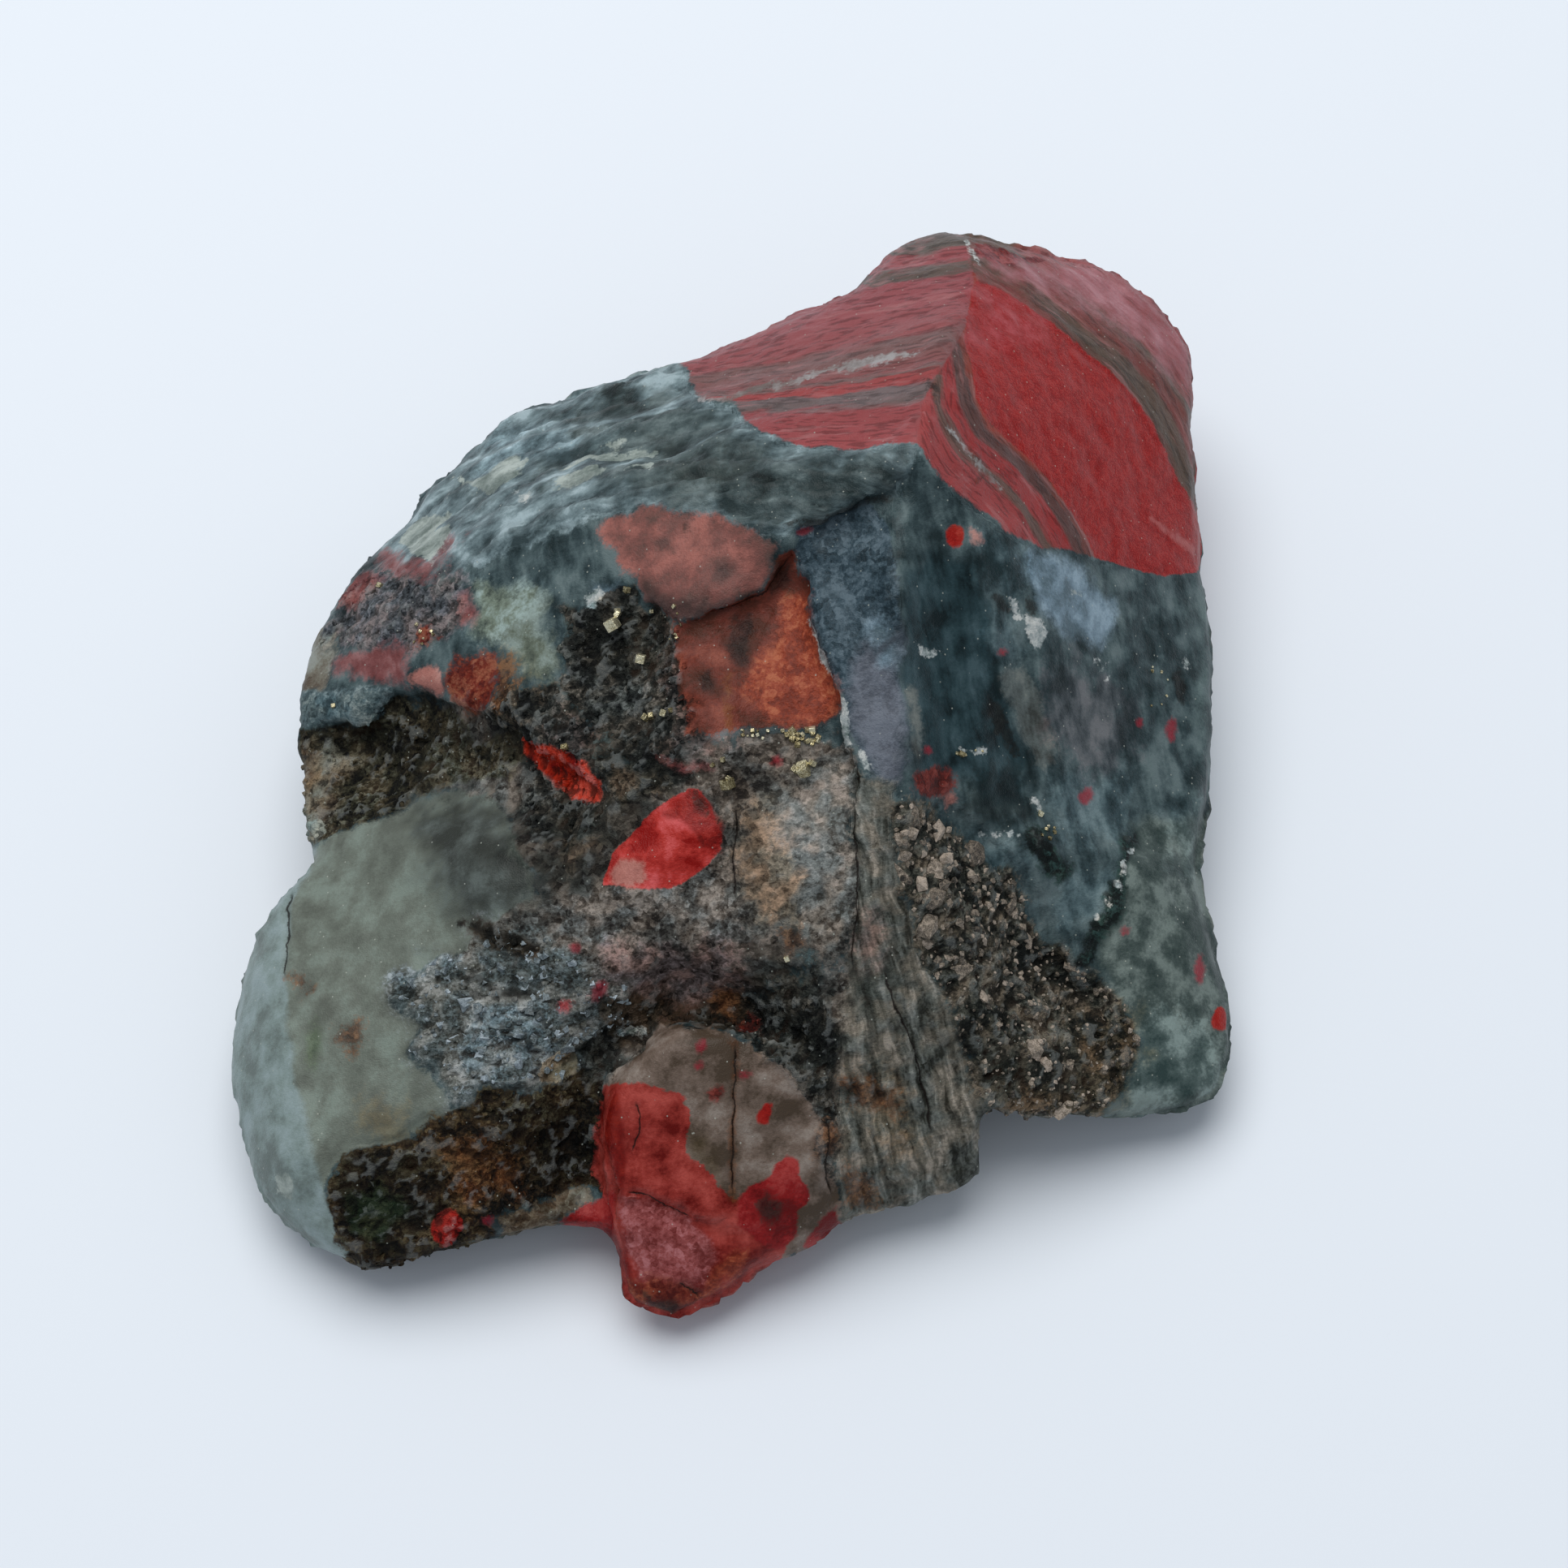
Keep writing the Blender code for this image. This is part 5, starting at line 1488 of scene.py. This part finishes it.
def hollow_shade_and_wear(p, t, colour):
    """Painted shade in the hollows, near black or rust brown, ridges lightened as partly wear and
    partly painted highlight, cracks and tiny pale specks.
    """
    coarse, cavity = p.value("coarse"), p.value("cavity")
    tinge = p.mix(p.smooth(p.value("soft"), 0.4, 0.6), COOL, WARM)
    colour = p.mix(p.smooth(coarse, 0.2, 0.5), colour, p.mix(1.0, colour, tinge, "MULTIPLY"))
    # Painted shade: the relief's hollows are darkened, as shade falls there
    cut = p.math("MULTIPLY_ADD", t.fine, 0.5, p.math("SUBTRACT", cavity, 0.25))
    hollow = p.math("MULTIPLY", p.smooth(cut, -0.15, -0.85), p.smooth(coarse, 0.1, 0.9, 0.15, 0.7))
    hollow_shade = p.mix(p.smooth(p.value("wide"), 0.5, 0.62), rgb(8, 9, 8), rgb(34, 20, 9))
    colour = p.mix(hollow, colour, hollow_shade)
    # Ridges of the relief made lighter: partly wear, partly painted highlight
    ridge_wear_and_highlight = p.math("MULTIPLY", p.smooth(cut, 0.2, 0.9), p.smooth(coarse, 0.1, 0.7, 0.08, 0.3))
    colour = p.mix(ridge_wear_and_highlight, colour, p.mix(0.5, colour, rgb(178, 184, 182)))

    # Cracks painted dark; along the oval's lower edge this line is painted shadow under its ledge
    side = p.math("ADD", p.value("crack_side"), p.math("MULTIPLY_ADD", t.edge, 0.4, -0.2))
    line = p.math("MULTIPLY", p.smooth(p.math("ABSOLUTE", side), 0.1, 0.03),
                  p.value("crack_weight"))
    colour = p.mix(p.math("MULTIPLY", line, 0.85), colour, rgb(20, 12, 8))

    speck = p.math("MULTIPLY", p.smooth(t.gap, 0.17, 0.1), p.smooth(t.pick, 0.86, 0.9))
    return p.mix(p.math("MULTIPLY", speck, 0.6), colour, rgb(176, 180, 170))


def stone_material():
    """Chalcedony, jasper and the other minerals of the skin."""
    p = Painter(MINERALS_NAME)
    t = Patterns(p)
    colour = hollow_shade_and_wear(p, t, stone_colour(p, t))
    coarse = p.value("coarse")
    rough = p.smooth(p.math("MULTIPLY_ADD", t.fine, 0.3, coarse), 0.1, 0.8, 0.34, 0.74)
    height = p.math("MULTIPLY", p.sum((0.6, t.middle), (0.5, t.fine)),
                    p.math("MULTIPLY_ADD", coarse, 0.9, 0.1))
    height = p.math("MULTIPLY_ADD", t.grit, 0.05, height)
    return p.finish(colour, rough, height, 0.5, specular=0.12, ior=REFRACTION)


def speck_material(name, colours, metallic, rough, specular):
    """A mineral of small separate grains, each with its own tone."""
    p = Painter(name)
    fine, grit = p.noise(3.0, 3.0, 0.65), p.noise(11.0, 1.0, 0.5)
    tone = p.sum((0.26, p.value("tone")), (0.44, fine), (0.3, grit))
    step = SPECK_SPAN / (len(colours) - 1)
    colour = p.ramp(tone, [(SPECK_LOW + step * i, c) for i, c in enumerate(colours)])
    height = p.sum((0.6, fine), (0.4, grit))
    return p.finish(colour, p.smooth(fine, 0.3, 0.7, rough - 0.12, rough + 0.12), height, 0.12,
                    metallic=metallic, specular=specular, ior=REFRACTION)


def little_shapes(kind, count, random):
    """Corners and faces of a few small shapes about 1 across, for pieces made of many."""
    shapes = []
    for _ in range(count):
        bm = bmesh.new()
        if kind == "cube":
            bmesh.ops.create_cube(bm, size=1.0)
            bmesh.ops.bevel(bm, geom=bm.edges, offset=0.06, offset_type="OFFSET", segments=1,
                            profile=0.5, affect="EDGES", material=-1)
        elif kind == "crystal":
            bmesh.ops.create_cone(bm, cap_ends=True, segments=6, radius1=0.5, radius2=0.3,
                                  depth=1.0)
        else:
            bmesh.ops.create_icosphere(bm, subdivisions=1, radius=0.5)
        for corner in bm.verts:
            corner.co *= 1.0 + (0.0 if kind == "cube" else UNEVEN * random.uniform(-1.0, 1.0))
        bmesh.ops.triangulate(bm, faces=bm.faces)
        bmesh.ops.recalc_face_normals(bm, faces=bm.faces)
        shapes.append((np.array([v.co for v in bm.verts]),
                       np.array([[v.index for v in f.verts] for f in bm.faces])))
        bm.free()
    return shapes


def turns(random, count):
    """Turns in all directions, as matrices."""
    spin = random.normal(size=(count, 4))
    w, x, y, z = (spin / np.linalg.norm(spin, axis=1)[:, None]).T
    rows = [1 - 2 * (y * y + z * z), 2 * (x * y - z * w), 2 * (x * z + y * w),
            2 * (x * y + z * w), 1 - 2 * (x * x + z * z), 2 * (y * z - x * w),
            2 * (x * z - y * w), 2 * (y * z + x * w), 1 - 2 * (x * x + y * y)]
    return np.stack(rows, 1).reshape(-1, 3, 3)


def scattered(name, shapes, places, sizes, facing, kept):
    """One mesh of many small shapes, each with the values that are kept where it lies."""
    corners, faces, owner, start = [], [], [], 0
    for i, place in enumerate(places):
        shape, sides = shapes[i % len(shapes)]
        corners.append((shape * sizes[i]) @ facing[i].T + place)
        faces.append(sides + start)
        owner.append(np.full(len(shape), i))
        start += len(shape)
    points = np.clip(np.concatenate(corners), *(np.array(c) / MM for c in CAD_BOX))
    mesh = bpy.data.meshes.new(name)
    mesh.from_pydata((points * MM).tolist(), [], np.concatenate(faces).tolist())
    owner = np.concatenate(owner)
    for key, values in kept.items():
        write_attribute(mesh, key, values[owner])
    return mesh


def one_per_cell(points, allowed, spacing, random):
    """Some of the allowed points, about one for each cell of a given size."""
    order = random.permutation(np.flatnonzero(allowed))
    lattice = np.floor(points[order] / spacing).astype(int)
    _, first = np.unique(lattice, axis=0, return_index=True)
    return np.sort(order[first])


def skin_now():
    """The skin that the first operator made, with all that is kept on it."""
    piece = bpy.data.objects.get(SKIN_NAME)
    if piece is None:
        raise RuntimeError("The stone's skin has to be made before the small pieces on it")
    skin = Skin(piece.data)
    vectors = {group: read_vectors(piece.data.attributes[group].data, "vector")
               for group in {"flow"} | {group for group, _ in PACKED.values()}}
    skin.kept = {name: vectors[group][:, axis] for name, (group, axis) in PACKED.items()}
    skin.kept["flow"] = vectors["flow"]
    return skin


def grow(name, chosen, kind, sizes, squash, sink, material, random, tone=None):
    """Puts a small shape on each chosen vertex of the skin."""
    skin = skin_now()
    count = len(chosen)
    scale = sizes[:, None] * random.uniform(squash, 1.0, (count, 3))
    places = skin.points[chosen] + skin.normals[chosen] * (sizes * sink)[:, None]
    if tone is None:
        here = {key: values[chosen] for key, values in skin.kept.items()}
        kept = packed({**here, "cavity": random.uniform(-0.4, 0.4, count)})
    else:
        kept = {"tone": tone}
    mesh = scattered(name, little_shapes(kind, SHAPES, random), places, scale,
                     turns(random, count), kept)
    return new_piece(name, mesh, material)


class StoneSkinSettings(bpy.types.PropertyGroup):
    voxel: FloatProperty(
        name="Face size", description="Size of the skin's faces on its hidden sides",
        default=0.00066, min=0.0005, max=0.003, unit="LENGTH")
    relief: FloatProperty(
        name="Relief", description="How strongly ledges, grain and facets stand out",
        default=1.0, min=0.0, max=2.0, subtype="FACTOR")


class DressSkin(bpy.types.Operator):
    """Makes the stone's skin, with its relief and its minerals"""

    bl_idname = "bloodstone.dress_skin"
    bl_label = "Stone skin"

    def execute(self, context):
        settings = context.scene.bloodstone_skin
        mesh = even_skin(settings.voxel)
        skin = Skin(mesh)
        wander = {layer[0]: layer[2] for layer in LAYERS}
        minerals = {name: skin.mineral(name, bend) for name, bend in wander.items()}
        crest, _ = skin.along(traced(CREST))
        minerals["crest"] = np.clip(-crest, -REACH, REACH)
        left, _ = skin.along(traced(LENS_LEFT))
        right, _ = skin.along(traced(LENS_RIGHT))
        left = np.clip(left, -REACH, BAND_REACH)
        right = np.clip(-right, -REACH, BAND_REACH)
        slope = np.interp(skin.up, BED_HEIGHTS, BED_SLOPES)
        bed_height = skin.up - slope * (skin.across - BED_CREST)
        flow = flow_places(skin, minerals, bed_height, np.maximum(left, right))

        calm(skin, minerals)
        height = coarseness(skin, minerals)
        moved = line_relief(skin) + grain_relief(skin, height, flow, minerals)
        moved *= settings.relief
        cavity = moved - skin.levelled(moved, HOLLOW_ROUNDS)
        settle(skin, moved)
        side, weight = crack_line(skin)
        kept = packed({
            **minerals, "flow": flow, "bed_height": bed_height, "lens_left": left,
            "lens_right": right, "crack_side": side, "crack_weight": weight,
            "hidden": skin.hidden, "coarse": np.clip(height / FULL_GRAIN, 0.0, 1.0),
            "cavity": np.clip(cavity / FULL_HOLLOW, -1.0, 1.0),
            "wide": 0.5 + 0.26 * fractal(skin.points, 0.24, 3, 91),
            "soft": 0.5 + 0.26 * fractal(skin.points, 0.6, 3, 95),
            "blob": 0.5 + 0.22 * fractal(skin.points, 0.11, 4, 99)})
        for name, values in kept.items():
            write_attribute(mesh, name, values)
        mesh.shade_smooth()
        mesh.set_sharp_from_angle(angle=SHARP_FROM)
        piece = new_piece(SKIN_NAME, mesh, stone_material())
        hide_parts(NODE)
        return {"FINISHED"}


class CrumbSettings(bpy.types.PropertyGroup):
    spacing: FloatProperty(
        name="Spacing", description="How far the crumbs of broken grain lie apart",
        default=0.0009, min=0.0003, max=0.005, unit="LENGTH")
    size: FloatProperty(
        name="Size", description="Width of a large crumb", default=0.0008, min=0.0002,
        max=0.003, unit="LENGTH")


class AddCrumbs(bpy.types.Operator):
    """Adds crumbs of broken grain to the rough minerals"""

    bl_idname = "bloodstone.add_crumbs"
    bl_label = "Crumbs"

    def execute(self, context):
        settings = context.scene.bloodstone_crumbs
        random = np.random.default_rng(101)
        skin = skin_now()
        rough = (skin.kept["coarse"] > CRUMBLY) & (skin.kept["hidden"] < SEEN)
        rough &= skin.kept["hollow"] < 0.0
        chosen = one_per_cell(skin.points, rough, settings.spacing / MM, random)
        sizes = settings.size / MM * random.uniform(0.4, 1.0, len(chosen)) ** 1.8
        material = bpy.data.materials[MINERALS_NAME]
        grow("bloodstone_crumbs", chosen, "lump", sizes, 0.55, -0.12, material, random)
        return {"FINISHED"}


class FrostSettings(bpy.types.PropertyGroup):
    spacing: FloatProperty(
        name="Spacing", description="How far the pale crystals lie apart",
        default=0.0008, min=0.0003, max=0.005, unit="LENGTH")
    size: FloatProperty(
        name="Size", description="Length of a large crystal", default=0.0011, min=0.0002,
        max=0.004, unit="LENGTH")


class AddFrost(bpy.types.Operator):
    """Adds the small pale crystals beside the lobe"""

    bl_idname = "bloodstone.add_frost"
    bl_label = "Frosted crystals"

    def execute(self, context):
        settings = context.scene.bloodstone_frost
        random = np.random.default_rng(202)
        skin = skin_now()
        here = skin.kept["frost"] > 0.0
        # On the sugar the pale crystals stand on the ridges: partly real crystals, partly painted
        # highlight on the tops that catch the light
        here |= (skin.kept["sugar"] > 0.3) & (skin.kept["cavity"] > 0.2)
        here &= skin.kept["hidden"] < SEEN
        chosen = one_per_cell(skin.points, here, settings.spacing / MM, random)
        sizes = settings.size / MM * random.uniform(0.4, 1.0, len(chosen)) ** 1.6
        tone = random.uniform(0.0, 1.0, len(chosen))
        material = speck_material("frosted_crystal", FROST_COLOURS, 0.0, 0.45, 0.3)
        grow("frosted_crystals", chosen, "crystal", sizes, 0.5, -0.3, material, random, tone)
        return {"FINISHED"}


class GrainSettings(bpy.types.PropertyGroup):
    large: FloatProperty(
        name="Large grains", description="Width of the crust's largest grains",
        default=0.0024, min=0.0005, max=0.005, unit="LENGTH")
    small: FloatProperty(
        name="Small grains", description="Width of the crust's small grains",
        default=0.0009, min=0.0003, max=0.005, unit="LENGTH")


class AddGrains(bpy.types.Operator):
    """Adds the crust of tan grains in the hollow"""

    bl_idname = "bloodstone.add_grains"
    bl_label = "Crust of grains"

    def execute(self, context):
        settings = context.scene.bloodstone_grains
        random = np.random.default_rng(303)
        skin = skin_now()
        hollow = (skin.kept["hollow"] > 0.15) & (skin.kept["hidden"] < SEEN)
        high = smooth_step(*HOLLOW_HEIGHTS, skin.up)
        material = speck_material("tan_grain", TAN_COLOURS, 0.0, 0.6, 0.3)
        here = hollow & (random.random(len(skin.points)) < 0.3 + 0.7 * high)
        chosen = one_per_cell(skin.points, here, settings.large / MM * 0.95, random)
        chosen = chosen[random.random(len(chosen)) < 0.25 + 0.5 * high[chosen]]
        sizes = settings.large / MM * random.uniform(0.45, 1.0, len(chosen)) ** 1.4
        grow("large_grains", chosen, "lump", sizes, 0.5, -0.22, material, random,
             random.uniform(0.35, 1.0, len(chosen)))
        chosen = one_per_cell(skin.points, hollow, settings.small / MM * 0.8, random)
        sizes = settings.small / MM * random.uniform(0.4, 1.0, len(chosen))
        sizes *= 0.7 + 0.3 * high[chosen]
        grow("small_grains", chosen, "lump", sizes, 0.6, -0.25, material, random,
             random.uniform(0.05, 0.95, len(chosen)))
        return {"FINISHED"}


class PyriteSettings(bpy.types.PropertyGroup):
    scale: FloatProperty(
        name="Scale", description="Size of the cubes against that of the best side's own",
        default=0.82, min=0.2, max=3.0, subtype="FACTOR")


class AddPyrite(bpy.types.Operator):
    """Adds the little cubes of pyrite"""

    bl_idname = "bloodstone.add_pyrite"
    bl_label = "Pyrite cubes"

    def execute(self, context):
        settings = context.scene.bloodstone_pyrite
        random = np.random.default_rng(404)
        skin = skin_now()
        lit = np.flatnonzero(skin.kept["hidden"] < SEEN)
        seen = KDTree(len(lit))
        for i in lit:
            seen.insert((skin.across[i], skin.up[i], 0.0), int(i))
        seen.balance()
        wanted = list(PYRITE)
        for x, y, wide, high, count, size in PYRITE_CLUSTERS:
            for _ in range(count):
                wanted.append((x + wide * random.uniform(-1.0, 1.0),
                               y + high * random.uniform(-1.0, 1.0),
                               size * random.uniform(0.5, 1.0)))
        chosen, sizes = [], []
        for place, size in zip(traced(wanted), wanted):
            hits = seen.find_range((*place, 0.0), PYRITE_REACH) or [seen.find((*place, 0.0))]
            chosen.append(max(hits, key=lambda hit: skin.nearer[hit[1]])[1])
            sizes.append(size[2] * PIXEL * settings.scale)
        material = speck_material("pyrite", PYRITE_COLOURS, 0.75, 0.3, 0.5)
        grow("pyrite_cubes", np.array(chosen), "cube", np.array(sizes), 0.75, 0.1, material,
             random, random.uniform(0.2, 1.0, len(chosen)))
        return {"FINISHED"}


class StageSettings(bpy.types.PropertyGroup):
    floor: FloatVectorProperty(
        name="Floor", description="Colour of the floor", default=(0.805, 0.853, 0.912),
        min=0.0, max=1.0, subtype="COLOR")
    window_power: FloatProperty(
        name="Window", description="Power of the large soft light in watts", default=3.9,
        min=0.0, max=100.0)
    sky_strength: FloatProperty(
        name="Sky", description="Strength of the light from all round", default=0.42,
        min=0.0, max=5.0)


def aimed_light(name, place, size, power, colour):
    """A round soft light that points at the stone."""
    lamp = bpy.data.lights.new(name, "AREA")
    lamp.shape = "DISK"
    lamp.size = size
    lamp.energy = power
    lamp.color = colour
    made = bpy.data.objects.new(name, lamp)
    made.location = place
    aim = Vector(place) - SIGHT_TARGET * MM
    made.rotation_euler = aim.to_track_quat("Z", "Y").to_euler()
    bpy.context.scene.collection.objects.link(made)


class SetStage(bpy.types.Operator):
    """Makes the floor, the lights and the camera"""

    bl_idname = "bloodstone.set_stage"
    bl_label = "Stage"

    def execute(self, context):
        settings = context.scene.bloodstone_stage
        scene = context.scene
        bm = bmesh.new()
        bmesh.ops.create_grid(bm, x_segments=1, y_segments=1, size=FLOOR_HALF_SIZE)
        mesh = bpy.data.meshes.new("floor")
        bm.to_mesh(mesh)
        bm.free()
        floor = bpy.data.objects.new("floor", mesh)
        scene.collection.objects.link(floor)
        paper = bpy.data.materials.new("pale_paper")
        paper.use_nodes = True
        shader = paper.node_tree.nodes["Principled BSDF"]
        shader.inputs["Base Color"].default_value = (*settings.floor, 1.0)
        shader.inputs["Roughness"].default_value = 0.9
        mesh.materials.append(paper)

        aimed_light("window", WINDOW_PLACE, WINDOW_SIZE, settings.window_power, WINDOW_COLOUR)
        world = bpy.data.worlds.new("pale_room")
        world.use_nodes = True
        sky = world.node_tree.nodes["Background"]
        sky.inputs["Color"].default_value = SKY_COLOUR
        sky.inputs["Strength"].default_value = settings.sky_strength
        scene.world = world
        scene.view_settings.view_transform = "Standard"

        lens = bpy.data.cameras.new("camera")
        lens.lens = LENS
        lens.sensor_width = SENSOR
        lens.clip_start = 0.01
        camera = bpy.data.objects.new("camera", lens)
        camera.location = EYE * MM
        camera.rotation_euler = Euler((math.pi / 2 - SIGHT_TILT, 0.0, 0.0))
        scene.collection.objects.link(camera)
        scene.camera = camera
        return {"FINISHED"}


class BloodstonePanel(bpy.types.Panel):
    """The stone's pieces and its stage"""

    bl_idname = "VIEW3D_PT_bloodstone"
    bl_label = "Bloodstone"
    bl_space_type = "VIEW_3D"
    bl_region_type = "UI"
    bl_category = "Bloodstone"

    def draw(self, context):
        for operator, group in STEPS:
            box = self.layout.box()
            settings = getattr(context.scene, group)
            for name in settings.bl_rna.properties.keys():
                if name not in {"rna_type", "name"}:
                    box.prop(settings, name)
            box.operator(operator.bl_idname)


GROUPS = {
    "bloodstone_skin": StoneSkinSettings,
    "bloodstone_crumbs": CrumbSettings,
    "bloodstone_frost": FrostSettings,
    "bloodstone_grains": GrainSettings,
    "bloodstone_pyrite": PyriteSettings,
    "bloodstone_stage": StageSettings,
}
STEPS = [
    (DressSkin, "bloodstone_skin"),
    (AddCrumbs, "bloodstone_crumbs"),
    (AddFrost, "bloodstone_frost"),
    (AddGrains, "bloodstone_grains"),
    (AddPyrite, "bloodstone_pyrite"),
    (SetStage, "bloodstone_stage"),
]


def register():
    for name, group in GROUPS.items():
        bpy.utils.register_class(group)
        setattr(bpy.types.Scene, name, PointerProperty(type=group))
    for operator, _ in STEPS:
        bpy.utils.register_class(operator)
    bpy.utils.register_class(BloodstonePanel)


def unregister():
    bpy.utils.unregister_class(BloodstonePanel)
    for operator, _ in reversed(STEPS):
        bpy.utils.unregister_class(operator)
    for name, group in reversed(list(GROUPS.items())):
        delattr(bpy.types.Scene, name)
        bpy.utils.unregister_class(group)


def main():
    register()
    for operator, _ in STEPS:
        area, name = operator.bl_idname.split(".")
        getattr(getattr(bpy.ops, area), name)()


if __name__ == "__main__":
    main()
